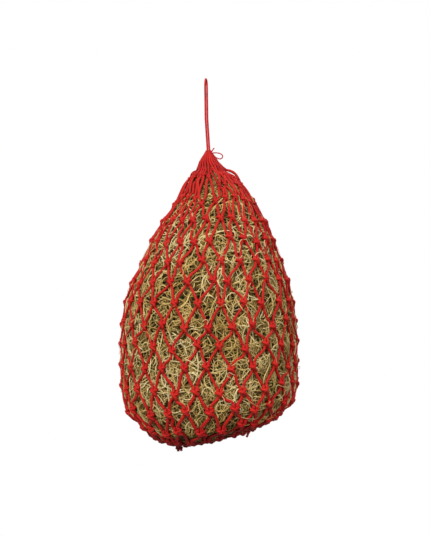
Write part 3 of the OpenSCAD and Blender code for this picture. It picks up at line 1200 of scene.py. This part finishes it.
@dataclass
class Netting:
    """The knotted courses: sheet bends, and the twines that hang each from the course above.

    Attributes:
        net: The shape of the filled net.
        knots: Where the knots lie.
        twine: The twine's width.
        flat: The twine's thickness as a share of its width.
        foot_course: The first of the courses given darker twine, as painted shade at the foot.
        tail_knot: Course and place of the knot that has the cut end.
        upper_end: Where a knot's upper twines leave it: to the side and up, in diameters.
        lower_end: Where its lower twines do.
        bight: Route of the twine that comes down from above and turns back up, in diameters.
        wrap: Route of the twine that comes up, passes behind the bight and tucks under itself.
    """

    net: FilledNet
    knots: KnotPlaces
    twine: float = 6.3 * MM
    flat: float = 0.8
    foot_course: int = 14
    tail_knot: tuple = (14, 22)
    upper_end: tuple = (0.63, 1.35)
    lower_end: tuple = (0.68, -1.45)
    bight: tuple = (
        (-0.66, 1.5, 0), (-0.5, 0.6, 0.15), (-0.45, -0.5, 0.1), (0, -1, 0.2), (0.45, -0.5, 0.1),
        (0.5, 0.6, 0.15), (0.66, 1.5, 0),
    )  # fmt: skip
    wrap: tuple = (
        (-0.72, -1.6, 0), (-0.36, -0.8, -0.3), (0, 0, 0.55), (0.9, 0.35, 0.2), (0.6, 0.5, -0.75),
        (-0.6, 0.45, -0.75), (-1.1, 0.2, 0.1), (-0.2, -0.15, 0.75), (0.5, -0.8, 0.3),
        (0.72, -1.6, 0),
    )  # fmt: skip

    def sheet_bend(self) -> Surface:
        """Build one knot in its own axes: round the net, up it, and outwards."""
        routes = (
            (smooth_route(np.array(self.bight), 8), (0, 0, 1), 0.0),
            (smooth_route(np.array(self.wrap), 13), (0, 1, 0), 0.35),
        )
        return Surface.joined(
            [
                rope(route * self.twine, self.twine, 5, hint, TWINE_MAP, 0, start)
                for route, hint, start in routes
            ]
        )

    def knot_end(self, side: Array, end: tuple[float, float]) -> Array:
        """Give where twines leave their knots, in the knots' own axes.

        Args:
            side: -1 for a twine on the left and 1 for one on the right.
            end: The end's place to the side and up, in diameters.

        Returns:
            Places, shaped (twines, 3).
        """
        return in_plane(side * end[0], end[1]) * self.twine

    def course_knots(self, course: int) -> Surface:
        """Build the knots of a course."""
        chance = np.random.default_rng(100 + course)
        count = self.net.meshes_round
        shifts = np.zeros((count, 2))
        shifts[:, 0] = chance.integers(0, TWINE_MAP.tones, count) / TWINE_MAP.tones
        axes = self.knots.axes[course] * self.knots.scale[course]
        return self.sheet_bend().stamped(self.knots.centres[course], axes, shifts)

    def course_twines(self, course: int) -> Surface:
        """Build the twines that hang a course from the one above.

        Args:
            course: The lower course, 2 or more.

        Returns:
            Two twines for each knot, a little bent.
        """
        chance = np.random.default_rng(200 + course)
        place, side, _ = self.net.legs()
        above = place + (side > 0) - (0 if course % 2 else 1)
        foot = self.knots.at(course, place, self.knot_end(side, self.upper_end))
        head = self.knots.at(course - 1, above, self.knot_end(-side, self.lower_end))
        rise = self.knots.along(course, place, in_plane(side * 0.42, 0.9))
        reach = self.knots.along(course - 1, above, in_plane(side * 0.46, 0.9))
        paths = bent_between(foot, rise, head, reach, 8)
        middle = np.sin(np.pi * np.linspace(0, 1, 8))[None, :, None]
        axes = self.knots.axes[course, place]
        slack = np.interp(course, [2, 5], [3.6, 2.0]) * MM
        bow = chance.normal(0, 0.5, (2, len(side), 1)).clip(-1, 1) * slack
        bow = bow[0] * axes[:, 0] + (bow[1] * 0.5 - 0.4 * MM) * axes[:, 2]
        paths = paths + middle * bow[:, None]
        radius = self.twine / 2 * self.knots.bunch[course]
        tones = chance.integers(0, TWINE_MAP.tones, len(side))
        starts = chance.uniform(0, 1, len(side))
        return tubes(paths, radius, 6, axes[:, None, 2], TWINE_MAP, tones, starts, self.flat)

    def tail_surface(self) -> Surface:
        """Build the cut end left where a new length of twine was joined in."""
        root = self.knots.centres[self.tail_knot]
        way = np.array([-0.6, -0.35, -0.72])
        tip = root + 24 * MM * (way + [0, -0.1, -0.15])
        route = np.array([root, root + 9 * MM * way, root + 17 * MM * way, tip])
        return rope(smooth_route(route, 10), self.twine - 1 * MM, 6, (1, 0, 0), TWINE_MAP, 3)

    def build(self, finish: bpy.types.Material, foot_shade_finish: bpy.types.Material) -> None:
        """Make a piece of each course below the first, and the cut end.

        Args:
            finish: The twine's finish.
            foot_shade_finish: The finish of the lowest courses, darker as painted shade at the
                foot.
        """
        for course in range(2, self.net.courses + 1):
            surface = Surface.joined([self.course_knots(course), self.course_twines(course)])
            name = f"mesh_course_{course:02d}"
            # The lowest courses get the darker twine: painted shade at the foot.
            wear_and_shade = foot_shade_finish if course >= self.foot_course else finish
            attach(add_piece(f"{name}_netting", surface, wear_and_shade, (name,)), "net")
        surface = self.tail_surface()
        tail = add_piece("joining_tail", surface, finish, ("twine_tail",))
        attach(tail, "net")


@dataclass
class MouthGather:
    """The first course and its long loops, which fan in over the hay and bunch at the mouth.

    Attributes:
        netting: The netting that they belong to.
        bow_out: How far an evenly slack leg may stand off the hay. The loosest stand off by over
            three times as much.
        top_station: Station where the legs leave the net's shape for the crest.
        crest: Where the legs pass over the draw cord's turn and the slip knot: radius, how far it
            may be more, height over the mouth, and how far it may be more, in millimetres.
    """

    netting: Netting
    bow_out: float = 3.5 * MM
    top_station: float = 0.78
    crest: tuple = (
        (21, 2, -9, 1), (14.2, 1.5, 2, 1), (9.4, 1, 9, 1.5), (5, 1, 16, 3), (2, 1, 10, 2),
    )  # fmt: skip

    def legs(self) -> Surface:
        """Build two legs for each knot, from the knot up the hay and into the cord's turn.

        A leg runs up the net's shape, off it by slack times the half sine of its run, and beside
        its even line by sway times the same, then over the crest.
        """
        net, knots, twine = self.netting.net, self.netting.knots, self.netting.twine
        chance = np.random.default_rng(21)
        place, side, turn = net.legs()
        share = np.linspace(0, 1, 11)[None]
        u = net.course_u(1) * (1 - share) + self.top_station * share
        hump = np.sin(np.pi * share)
        shares = np.repeat(chance.uniform(0, 1, (4, net.meshes_round)), 2, axis=1)[..., None]
        slackness, _, leaning, spacing = shares
        loose = np.exp(-((np.abs(np.cos(turn - 0.1)) - 1) / 0.02) ** 2) * (np.cos(turn) > -0.5)
        slack = slackness**3 + 2.6 * loose - 1.2 * (1 - loose) * (np.cos(turn) > 0.4)
        hollow = np.interp(share, [0, 0.4, 0.8, 1], [0, 2.5, 5, -1]) * MM
        stacked = (side[:, None] * 1.2 * MM + (spacing - 0.5) * 4 * MM) * hump
        paths = net.point(u, turn, 1.2 * MM + self.bow_out * slack * hump - hollow + stacked)
        across = net.axes(u, turn)[..., 0, :]
        sway = (leaning - 0.5) * 9 * MM + side[:, None] * (0.5 + 4 * spacing) * MM
        sway = sway + 2.2 * MM * np.sin(7 * share + 6.3 * chance.uniform(0, 1, (len(side), 1)))
        beside = side[:, None] * 0.3 * twine * (1 - share) + hump * sway
        paths = paths + beside[..., None] * across
        root = knots.at(1, place, self.netting.knot_end(side, self.netting.upper_end))
        paths += (root - paths[:, 0])[:, None] * ((1 - share) ** 2)[..., None]
        outward = np.stack([np.cos(turn[:, 0]), np.sin(turn[:, 0]), 0 * turn[:, 0]], axis=1)
        centre = np.array([net.mouth_x, 0, net.mouth_z])
        ease = chance.uniform(0, 1, (len(side), 1))
        tips = []
        for reach, spare, height, rise in self.crest:
            tip = centre + outward * (reach + spare * ease) * MM
            tips.append(tip + [0, 0, 1] * (height + rise * ease) * MM)
        paths = np.concatenate([paths, np.stack(tips, axis=1)], axis=1)
        tones = chance.integers(0, TWINE_MAP.tones, len(side))
        starts = chance.uniform(0, 1, len(side))
        hint = np.concatenate([across, np.repeat(across[:, -1:], len(self.crest), axis=1)], axis=1)
        return tubes(paths, 0.42 * twine, 6, hint, TWINE_MAP, tones, starts)

    def build(self, finish: bpy.types.Material, leg_finish: bpy.types.Material) -> None:
        """Make the legs and the first course's knots.

        Args:
            finish: The netting's finish.
            leg_finish: The finish of the legs, whose yarns are pulled straight. Legs darker and
                paler at random paint shade and light.
        """
        nodes = ("mouth_loops", "mesh_course_01")
        legs = add_piece("mouth_legs", self.legs(), leg_finish, nodes)
        knots = self.netting.course_knots(1)
        first = add_piece("first_knots", knots, finish, ("mesh_course_01",))
        for piece in (legs, first):
            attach(piece, "net")


@dataclass
class BottomGather:
    """The closing loops under the hay, the cord drawn through them, and its knot.

    Attributes:
        netting: The netting that they belong to.
        gather_height: Thickness of the bunched loops.
        tie_radius: Radius of the drawn cord.
        knot_size: Diameter of the closing knot.
        inner_station: Station where the legs leave the net's shape for the drawn cord.
    """

    netting: Netting
    gather_height: float = 6 * MM
    tie_radius: float = 11 * MM
    knot_size: float = 13 * MM
    inner_station: float = 16.9

    def frame(self) -> tuple[Array, Array]:
        """Give the gather's centre, and its own axes as rows, tilted as the last ring is."""
        net = self.netting.net
        ring = net.ring_at(np.array(len(net.stations) - 1.0))
        tilt = ring[4]
        axes = np.array(
            [[math.cos(tilt), 0, math.sin(tilt)], [0, 1, 0], [-math.sin(tilt), 0, math.cos(tilt)]]
        )
        return ring[:3], axes

    def legs(self) -> Surface:
        """Build two legs for each knot of the last course, in to the drawn cord.

        A leg runs down the net's shape, beside its even line by sway times the half sine of its
        run, then under the drawn cord and up inside it.
        """
        net, knots, twine = self.netting.net, self.netting.knots, self.netting.twine
        chance = np.random.default_rng(31)
        place, side, turn = net.legs()
        share = np.linspace(0, 1, 9)[None]
        u = net.last_station + (self.inner_station - net.last_station) * share
        hump = np.sin(np.pi * share)
        paths = net.point(u, turn, (1 + 2.5 * chance.uniform(0, 1, (len(side), 1)) * hump) * MM)
        across = net.axes(u, turn)[..., 0, :]
        sway = chance.normal(0, 1.8 * MM, (len(side), 1))
        beside = side[:, None] * 0.5 * twine * (1 - share) + hump * sway
        paths = paths + beside[..., None] * across
        root = knots.at(net.courses, place, self.netting.knot_end(side, self.netting.lower_end))
        paths += (root - paths[:, 0])[:, None] * ((1 - share) ** 2)[..., None]
        centre, axes = self.frame()
        inward = centre + 0.45 * (paths[:, -1] - centre) - 3.2 * MM * axes[2]
        tucked = centre + 0.3 * (paths[:, -1] - centre) + 1.5 * MM * axes[2]
        paths = np.concatenate([paths, inward[:, None], tucked[:, None]], axis=1)
        hint = np.concatenate([across, across[:, -1:], across[:, -1:]], axis=1)
        tones = chance.integers(0, TWINE_MAP.tones, len(side))
        starts = chance.uniform(0, 1, len(side))
        return tubes(paths, twine / 2, 6, hint, TWINE_MAP, tones, starts)

    def tie(self) -> Surface:
        """Build the cord drawn through the loops, a turn and three quarters.

        A point is the centre + radius (cos t, sin t) in the gather's plane, a drop under it.
        """
        centre, axes = self.frame()
        twine = self.netting.twine
        t = 2 * np.pi * np.linspace(0.5, 2.25, 40)
        radius = self.tie_radius + 1.2 * MM * np.sin(2.3 * t)
        drop = self.gather_height / 2 + 0.3 * MM + twine * (0.1 + 0.25 * np.linspace(0, 1, 40))
        local = np.stack([radius * np.cos(t), radius * np.sin(t), -drop], axis=1)
        return rope(centre + local @ axes, 0.92 * twine, 8, (0, 0, 1), TWINE_MAP, 5)

    def knot(self) -> Surface:
        """Build the closing knot and its two cut ends."""
        centre, axes = self.frame()
        twine = self.netting.twine
        drop = (self.gather_height + self.knot_size) / 2
        middle = centre + np.array([-self.tie_radius - 8.8 * MM, 0, -drop]) @ axes
        turned = np.stack([axes[0], -axes[2], axes[1]])
        knot = self.netting.sheet_bend().stamped(middle[None], turned[None], np.array([[0.25, 0]]))
        ends = []
        for side in (-1, 1):
            way = axes[0] * (-0.3) + axes[1] * 0.8 * side + axes[2] * 0.3
            points = np.stack([middle + reach * MM * way for reach in (0, 5, 9, 12)])
            ends.append(rope(smooth_route(points, 8), 0.8 * twine, 6, (0, 0, 1), TWINE_MAP, 2))
        return Surface.joined([knot, *ends])

    def build(self, finish: bpy.types.Material) -> None:
        """Make the closing loops, the drawn cord and its knot."""
        for name, surface, nodes in (
            ("closing_legs", self.legs(), ("bottom_loops", "bottom_gather")),
            ("drawn_tie", self.tie(), ("bottom_tie",)),
            ("closing_knot", self.knot(), ("bottom_knot",)),
        ):
            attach(add_piece(name, surface, finish, nodes), "net")


# ---------------------------------------------------------------------------- hay


class Growth(Enum):
    """How a kind of stalk lies."""

    MATTED = "matted"
    TUFTED = "tufted"
    STRAY = "stray"


@dataclass(frozen=True)
class StalkKind:
    """A kind of stalk in the hay.

    Attributes:
        growth: How it lies.
        count: How many there are.
        length: Its shortest and longest length.
        width: Its narrowest and widest width.
        thickness: Thickness as a share of the width.
        curl: How far it turns over its length, in radians.
        depth: Its deepest and its highest lie.
        tones: Its first and last tone on the bake map.
        wave: How far it wanders in depth.
    """

    growth: Growth
    count: int
    length: tuple[float, float]
    width: tuple[float, float]
    thickness: float
    curl: float
    depth: tuple[float, float]
    tones: tuple[float, float]
    wave: float


@dataclass
class Hay:
    """The hay: a rough heart in each flake, under a deep mat of single stalks.

    Attributes:
        net: The shape of the filled net.
        limits: Stations where one flake ends and the next begins.
        names: The flakes' names, from the top.
        sectors: How many pieces each flake's stalks are split into.
        heart_depth: How far the hearts lie inside the net.
        twine_room: How far under the net's surface the hay lies where a twine presses on it.
        bulge: How far the hay swells out in the middle of a mesh, over where a twine presses.
        painted_shade: Painted shade: how far the stalks' tones are moved darker at the foot.
        shade_shares: Stations, and the share of that painted shade felt at each, near the mouth
            too.
        patchy: How far they are moved from place to place, either way.
        roots: First and last station where a stalk may have its middle.
        reach: First and last station that any part of a stalk may reach.
        mesh_reach: First and last place between courses that a tuft may be moved to.
        least_radius: The radius that stalks turn round by where the net is narrower.
        tuft_spread: How much of its length a tuft's stalk runs over the net.
        tuft_droop: How far its tip hangs down, as a share of its length.
        rings: How many points a stalk's line has.
        kinds: The kinds of stalk.
    """

    net: FilledNet
    limits: tuple = (1.5, 5, 8.6, 12.2, 16.7)
    names: tuple = ("top", "upper", "middle", "lower")
    sectors: int = 3
    heart_depth: float = 18 * MM
    twine_room: float = 3 * MM
    bulge: float = 7 * MM
    painted_shade: float = 0.62
    shade_shares: tuple = ((2, 4.5, 13.2, 14.6), (0.4, 0, 0, 1))
    patchy: float = 0.1
    roots: tuple = (0.5, 16.95)
    reach: tuple = (0.15, 16.98)
    mesh_reach: tuple = (0.2, 18.2)
    least_radius: float = 22 * MM
    tuft_spread: float = 0.75
    tuft_droop: float = 0.22
    rings: int = 8
    # Partly the hay's own mix of tones, partly painted shade: in the main, the deeper a kind lies,
    # the darker its tones.
    kinds: tuple = (
        StalkKind(
            Growth.MATTED, 10000, (30 * MM, 90 * MM), (1.3 * MM, 2.5 * MM), 0.5, 1.2,
            (-16 * MM, -4 * MM), (0.36, 0.95), 1.8 * MM,
        ),
        StalkKind(
            Growth.MATTED, 3600, (35 * MM, 110 * MM), (1.6 * MM, 2.8 * MM), 0.5, 1.5,
            (-9 * MM, 0 * MM), (0.15, 0.72), 1.6 * MM,
        ),
        StalkKind(
            Growth.MATTED, 2000, (55 * MM, 135 * MM), (1.8 * MM, 2.9 * MM), 0.5, 1.6,
            (-4 * MM, 5 * MM), (0.05, 0.35), 1.4 * MM,
        ),
        StalkKind(
            Growth.MATTED, 800, (45 * MM, 120 * MM), (2.2 * MM, 3.4 * MM), 0.5, 2.0,
            (0 * MM, 7 * MM), (0.0, 0.08), 1.0 * MM,
        ),
        StalkKind(
            Growth.TUFTED, 1500, (20 * MM, 42 * MM), (1.8 * MM, 3.0 * MM), 0.5, 0.8,
            (-9 * MM, 7 * MM), (0.0, 0.42), 0.5 * MM,
        ),
        StalkKind(
            Growth.STRAY, 260, (25 * MM, 75 * MM), (1.3 * MM, 2.2 * MM), 0.5, 1.2,
            (1 * MM, 7 * MM), (0.0, 0.3), 1.5 * MM,
        ),
        StalkKind(
            Growth.MATTED, 700, (25 * MM, 60 * MM), (4.0 * MM, 7.0 * MM), 0.08, 1.2,
            (-9 * MM, 2 * MM), (0.5, 0.98), 1.5 * MM,
        ),
    )  # fmt: skip

    def room(self, course: Array, turn: Array) -> Array:
        """Say how high the hay may stand, from 0 under a twine or leg to 1 in mid mesh.

        With t the turn in meshes and c the course, the twines are where t + c/2 or t - c/2 is
        whole, so the share is the size of sin pi(t + c/2) sin pi(t - c/2). Past the courses it is
        half the size of cos pi t, between legs.
        """
        t = turn * self.net.meshes_round / (2 * np.pi)
        mesh = np.sin(np.pi * (t + course / 2)) * np.sin(np.pi * (t - course / 2))
        legs = 0.5 * np.cos(np.pi * t)
        return np.abs(np.where((course < 1) | (course > self.net.courses), legs, mesh))

    def sown(self, count: int, chance: np.random.Generator) -> tuple[Array, Array]:
        """Spread places evenly over the net's surface and return their stations and turns."""
        walk = self.net.walk
        inside = (walk >= self.roots[0]) & (walk <= self.roots[1])
        steps = np.gradient(self.net.lengths) * self.net.ring_at(walk)[:, 3] * inside
        share = np.cumsum(steps) / steps.sum()
        u = np.interp(chance.uniform(0, 1, count), share, walk)
        return u, chance.uniform(0, 2 * np.pi, count)

    def snapped(self, u: Array, turn: Array, chance: np.random.Generator) -> tuple[Array, Array]:
        """Move places near to the middle of their meshes."""
        t = turn * self.net.meshes_round / (2 * np.pi)
        course = self.net.course_at(u)
        p = np.floor(t + course / 2) + 0.5 + chance.normal(0, 0.12, len(u))
        q = np.floor(t - course / 2) + 0.5 + chance.normal(0, 0.12, len(u))
        near = self.net.course_u(np.clip(p - q, *self.mesh_reach))
        return near, (p + q) / 2 * 2 * np.pi / self.net.meshes_round

    def lines(
        self, kind: StalkKind, chance: np.random.Generator
    ) -> tuple[Array, Array, Array, Array]:
        """Lay the centre lines of one kind of stalk over the net's surface.

        A line's heading turns evenly along it. Its step round the net, divided by the radius there,
        is added to the turn, and its step up the net is taken from the length run down.

        Args:
            kind: The kind of stalk.
            chance: The source of chance.

        Returns:
            Points shaped (stalks, rings, 3), outward directions there, and each stalk's station
            and turn.
        """
        count, rings = kind.count, self.rings
        u, turn = self.sown(count, chance)
        if kind.growth is Growth.TUFTED:
            u, turn = self.snapped(u, turn, chance)
        size = kind.length[0] + np.diff(kind.length)[0] * chance.uniform(0, 1, count) ** 1.4
        s = np.linspace(0, 1, rings)[None]
        heading = chance.uniform(0, 2 * np.pi, (count, 1))
        bend = kind.curl * chance.normal(0, 1, (count, 2))
        heading = heading + bend[:, :1] * (s - 0.5) + bend[:, 1:] * 0.6 * np.sin(2 * np.pi * s)
        step = size[:, None] / (rings - 1)
        round_net = np.cumsum(np.cos(heading) * step, axis=1)
        up_net = np.cumsum(np.sin(heading) * step, axis=1)
        if kind.growth is Growth.TUFTED:
            round_net = (round_net - round_net[:, :1]) * self.tuft_spread
            sunk = self.tuft_droop * size[:, None] * s**2
            up_net = (up_net - up_net[:, :1]) * self.tuft_spread - sunk
        else:
            round_net = round_net - round_net.mean(axis=1, keepdims=True)
            up_net = up_net - up_net.mean(axis=1, keepdims=True)
        places = self.net.u_at_length(self.net.length_at(u)[:, None] - up_net)
        places = places.clip(*self.reach)
        radius = np.maximum(self.net.ring_at(places)[..., 3], self.least_radius)
        turns = turn[:, None] + round_net / radius
        low, high = kind.depth
        if kind.growth is Growth.TUFTED:
            out = low + (high - low) * chance.uniform(0.55, 1.05, (count, 1)) * np.sin(1.9 * s)
            out = out + chance.normal(0, kind.wave, (count, rings))
        else:
            lie = chance.uniform(0, 1, (count, 1)) ** (0.8 if kind.growth is Growth.MATTED else 1)
            out = low + (high - low) * lie + chance.normal(0, kind.wave, (count, rings))
            out = out - 5 * MM * (2 * s - 1) ** 4
        course = self.net.course_at(places)
        top = -self.twine_room + self.bulge * self.room(course, turns) ** 0.7
        top = top - np.interp(course, [0.6, 2.2], [7 * MM, 0])
        if kind.growth is Growth.STRAY:
            out = out.clip(-6 * MM, 8 * MM) - np.interp(course, [0.8, 2.2], [14 * MM, 0])
        else:
            out = np.minimum(out, top - 0.8 * MM * chance.uniform(0, 1, out.shape))
        points = self.net.point(places, turns, out)
        return points, self.net.axes(places, turns)[..., 2, :], u, turn

    def stalks(
        self, kind: StalkKind, points: Array, outward: Array, chance: np.random.Generator
    ) -> tuple[Array, Array]:
        """Give stalks their three-sided sections and their tones.

        A section's corners lie at -w and w across and at t over the line, with w narrowing to the
        ends. Across is square to the line and to outwards, rolled about the line by chance.

        Args:
            kind: The kind of stalk.
            points: Centre lines, shaped (stalks, rings, 3).
            outward: Outward directions, shaped as points.
            chance: The source of chance.

        Returns:
            Vertices shaped (stalks, rings, 3, 3), and each stalk's tone.
        """
        count, rings = points.shape[:2]
        way = unit(np.gradient(points, axis=1))
        flat = unit(np.cross(way, outward))
        over = np.cross(way, flat)
        roll = chance.normal(0, 0.5, (count, 1, 1))
        side = flat * np.cos(roll) + over * np.sin(roll)
        lift = np.cross(way, side)
        taper = np.interp(np.linspace(0, 1, rings), [0, 0.2, 0.7, 1], [0.6, 1, 0.9, 0.25])
        wide = kind.width[0] + np.diff(kind.width)[0] * chance.uniform(0, 1, (count, 1)) ** 1.5
        half = (wide * taper)[..., None] / 2
        thick = half * 2 * kind.thickness
        corners = [
            points - side * half - lift * thick / 3,
            points + side * half - lift * thick / 3,
            points + lift * thick * 2 / 3,
        ]
        first, last = kind.tones
        tone = first + (last - first) * chance.beta(1.0, 1.35, count)
        return np.stack(corners, axis=2), tone

    def stalk_surface(self, vertices: Array, tones: Array) -> Surface:
        """Join stalks into one surface.

        Args:
            vertices: Shaped (stalks, rings, 3, 3).
            tones: Each stalk's tone, from 0 to 1, which sets its place across the bake map.

        Returns:
            The stalks, with u by tone and v along each stalk.
        """
        count, rings = vertices.shape[:2]
        strip = 1 / 64
        index = np.arange(count * rings * 3).reshape(count, rings, 3)
        left = (tones * (1 - strip))[:, None, None] + strip * np.arange(3) / 3
        right = left + strip / 3
        up = np.linspace(0.02, 0.98, rings)[None, :, None]
        low, high = up[:, :-1], up[:, 1:]
        places = wall_places((left, low), (right, low), (right, high), (left, high))
        triangle = np.array([[0, 0], [strip, 0], [strip / 2, 0.018]])
        start = np.stack([left[:, 0, 0], np.zeros(count)], axis=1)[:, None] + triangle
        end = start + [0, 0.982]
        return Surface(
            vertices.reshape(-1, 3),
            [wall_faces(index), index[:, 0, ::-1], index[:, -1]],
            [places, start[:, ::-1], end],
        )

    def heart(self, upper: float, lower: float) -> Surface:
        """Build a flake's heart, as rings inside the net with lumps.

        The lumps are the sum of a few sines of whole turns and of the station.

        Args:
            upper: Station of its top.
            lower: Station of its foot.

        Returns:
            A closed surface.
        """
        chance = np.random.default_rng(41)
        rows, columns = 22, 112
        u = np.linspace(upper, lower, rows)[:, None]
        turn = (2 * np.pi * np.arange(columns) / columns)[None]
        waves = chance.integers(2, 17, 14)[:, None, None] * turn
        waves = waves + chance.uniform(-5, 5, 14)[:, None, None] * u
        waves = waves + chance.uniform(0, 6, 14)[:, None, None]
        lumps = np.sin(waves).sum(axis=0) / 4
        points = self.net.point(u, turn, -self.heart_depth + 2.6 * MM * lumps)
        index = np.arange(rows * columns).reshape(rows, columns)
        walls = wall_faces(index)[:, [0, 3, 2, 1]]
        left = np.arange(columns)[None] / columns
        right = left + 1 / columns
        up = np.linspace(0.08, 0.98, rows)[:, None]
        low, high = up[1:], up[:-1]
        places = wall_places((left, high), (left, low), (right, low), (right, high))
        disc = 0.03 * np.stack([np.cos(turn[0]), np.sin(turn[0])], axis=1)
        return Surface(
            points.reshape(-1, 3),
            [walls, index[:1], index[-1:, ::-1]],
            [places, (disc + [0.04, 0.04])[None], (disc[::-1] + [0.12, 0.04])[None]],
        )

    def build(self, stalk_finish: bpy.types.Material, heart_shade_finish: bpy.types.Material) -> None:
        """Make each flake's heart, and its stalks in sectors.

        Args:
            stalk_finish: The stalks' finish.
            heart_shade_finish: The hearts' finish, dark as painted shade deep in the hay.
        """
        chance = np.random.default_rng(51)
        made = []
        for kind in self.kinds:
            points, outward, u, turn = self.lines(kind, chance)
            vertices, tones = self.stalks(kind, points, outward, chance)
            made.append((vertices, tones, u, turn))
        vertices, tones, u, turn = (np.concatenate(parts) for parts in zip(*made))
        # Painted shade: stalks at the foot, and less near the mouth, are moved to darker tones.
        shade = np.interp(u, *self.shade_shares) * self.painted_shade
        waves = chance.integers(1, 9, 9)[:, None] * turn + chance.uniform(-2.2, 2.2, 9)[:, None] * u
        patches = np.sin(waves + chance.uniform(0, 6, 9)[:, None]).sum(axis=0) / 3
        tones = (tones + shade + self.patchy * patches).clip(0, 0.97)
        flakes = np.clip(np.searchsorted(self.limits, u) - 1, 0, len(self.names) - 1)
        sectors = np.floor(turn / (2 * np.pi) * self.sectors).astype(int) % self.sectors
        for flake, name in enumerate(self.names):
            node = (f"hay_flake_{name}",)
            upper = 1.2 if flake == 0 else self.limits[flake] + 0.004
            heart = self.heart(upper, self.limits[flake + 1])
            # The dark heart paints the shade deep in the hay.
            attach(add_piece(f"hay_{name}_heart", heart, heart_shade_finish, node), "net")
            for sector in range(self.sectors):
                chosen = (flakes == flake) & (sectors == sector)
                surface = self.stalk_surface(vertices[chosen], tones[chosen])
                piece_name = f"hay_{name}_stalks_{sector + 1}"
                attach(add_piece(piece_name, surface, stalk_finish, node), "net")


# ---------------------------------------------------------------------------- studio


@dataclass(frozen=True)
class Lamp:
    """A soft lamp a long way off.

    Attributes:
        name: The lamp's name.
        strength: Its strength.
        softness: How wide it looks from the net, in degrees.
        azimuth: Where it stands round the net, in degrees, with 0 in front and 90 to the right.
        elevation: How high it stands, in degrees.
    """

    name: str
    strength: float
    softness: float
    azimuth: float
    elevation: float


@dataclass
class Studio:
    """A pale floor, soft light and the camera.

    Attributes:
        distance: How far in front of the net the camera is.
        camera_x: How far it is to the side.
        camera_z: Its height.
        lens: Focal length in millimetres, for a picture 36 mm high.
        roll: How far it leans, in degrees.
        floor_z: The floor's height.
        floor_radius: The floor's radius.
        room_light: The room's light from below and from above.
        lamps: The lamps.
    """

    distance: float = 3.0
    camera_x: float = 15.8 * MM
    camera_z: float = -449 * MM
    lens: float = 84.5
    roll: float = 0.72
    floor_z: float = -2.8
    floor_radius: float = 1.2
    room_light: tuple = (0.05, 0.64)
    lamps: tuple = (
        Lamp("key_light", 2.6, 26, -36, 30),
        Lamp("fill_light", 1.2, 50, 50, 24),
        Lamp("back_light", 0.8, 60, 170, 35),
    )

    def set_camera(self) -> None:
        """Stand the camera in front of the net, looking along +Y."""
        data = bpy.data.cameras.new("camera")
        data.sensor_fit = "VERTICAL"
        data.sensor_height = 36
        data.lens = self.lens
        camera = bpy.data.objects.new("camera", data)
        camera.location = (self.camera_x, -self.distance, self.camera_z)
        camera.rotation_euler = (math.pi / 2, math.radians(self.roll), 0)
        bpy.context.scene.collection.objects.link(camera)
        bpy.context.scene.camera = camera

    def set_lights(self) -> None:
        """Light the net softly from the front left and above, in a near-white room."""
        scene = bpy.context.scene
        scene.view_settings.view_transform = "Standard"
        world = bpy.data.worlds.new("room")
        scene.world = world
        world.use_nodes = True
        bench = NodeBench(world.node_tree)
        backdrop = world.node_tree.nodes["Background"]
        room = bench.add("ShaderNodeBackground")
        room.inputs["Color"].default_value = (1, 1, 1, 1)
        parts = bench.add("ShaderNodeSeparateXYZ")
        bench.feed(parts.inputs[0], bench.add("ShaderNodeTexCoord").outputs["Generated"])
        height = bench.ranged(parts.outputs[2], -0.5, 0.8, self.room_light[0], self.room_light[1])
        bench.feed(room.inputs["Strength"], height)
        backdrop.inputs["Color"].default_value = (1, 1, 1, 1)
        seen = bench.add("ShaderNodeMixShader")
        bench.feed(seen.inputs[0], bench.add("ShaderNodeLightPath").outputs["Is Camera Ray"])
        bench.feed(seen.inputs[1], room.outputs[0])
        bench.feed(seen.inputs[2], backdrop.outputs[0])
        bench.feed(world.node_tree.nodes["World Output"].inputs[0], seen.outputs[0])
        for lamp in self.lamps:
            light = bpy.data.lights.new(lamp.name, "SUN")
            light.energy = lamp.strength
            light.angle = math.radians(lamp.softness)
            piece = bpy.data.objects.new(lamp.name, light)
            tilt, azimuth = math.radians(90 - lamp.elevation), math.radians(lamp.azimuth)
            piece.rotation_euler = (tilt, 0, azimuth)
            scene.collection.objects.link(piece)

    def lay_floor(self) -> None:
        """Lay a plain pale disc well under the net."""
        columns = 96
        turn = 2 * np.pi * np.arange(columns) / columns
        circle = np.stack([np.cos(turn), np.sin(turn)], axis=1)
        rim = np.column_stack([self.floor_radius * circle, np.full(columns, self.floor_z)])
        disc = 0.5 + 0.5 * circle
        surface = Surface(rim, [np.arange(columns)[None]], [disc[None]])
        material = bpy.data.materials.new("pale_floor")
        material.use_nodes = True
        shader = material.node_tree.nodes["Principled BSDF"]
        shader.inputs["Base Color"].default_value = srgb(214, 212, 208)
        shader.inputs["Roughness"].default_value = 0.9
        mesh = surface.mesh("floor")
        mesh.materials.append(material)
        floor = bpy.data.objects.new("floor", mesh)
        bpy.context.scene.collection.objects.link(floor)

    def build(self) -> None:
        """Set up the camera, the lights and the floor."""
        self.set_camera()
        self.set_lights()
        self.lay_floor()


def main() -> None:
    """Build the hay net: camera, cords, netting and hay."""
    logging.basicConfig(level=logging.INFO, format="%(name)s %(message)s")
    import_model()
    Studio().build()
    lay = cord_lay_group()
    DrawCord().build(DRAW_CORD_FINISH.material(lay), BOW_CORD_FINISH.material(lay))
    net = FilledNet()
    netting = Netting(net, KnotPlaces(net))
    # The lowest courses and the bottom gather take a darker twine: painted shade at the foot.
    twine, foot_shade_twine = TWINE_FINISH.material(lay), FOOT_SHADE_TWINE_FINISH.material(lay)
    netting.build(twine, foot_shade_twine)
    MouthGather(netting).build(twine, DRAWN_SHADED_TWINE_FINISH.material(lay))
    BottomGather(netting).build(foot_shade_twine)
    grain = stalk_grain_group()
    Hay(net).build(STALK_FINISH.material(grain), HEART_SHADE_FINISH.material(grain))


if __name__ == "__main__":
    main()
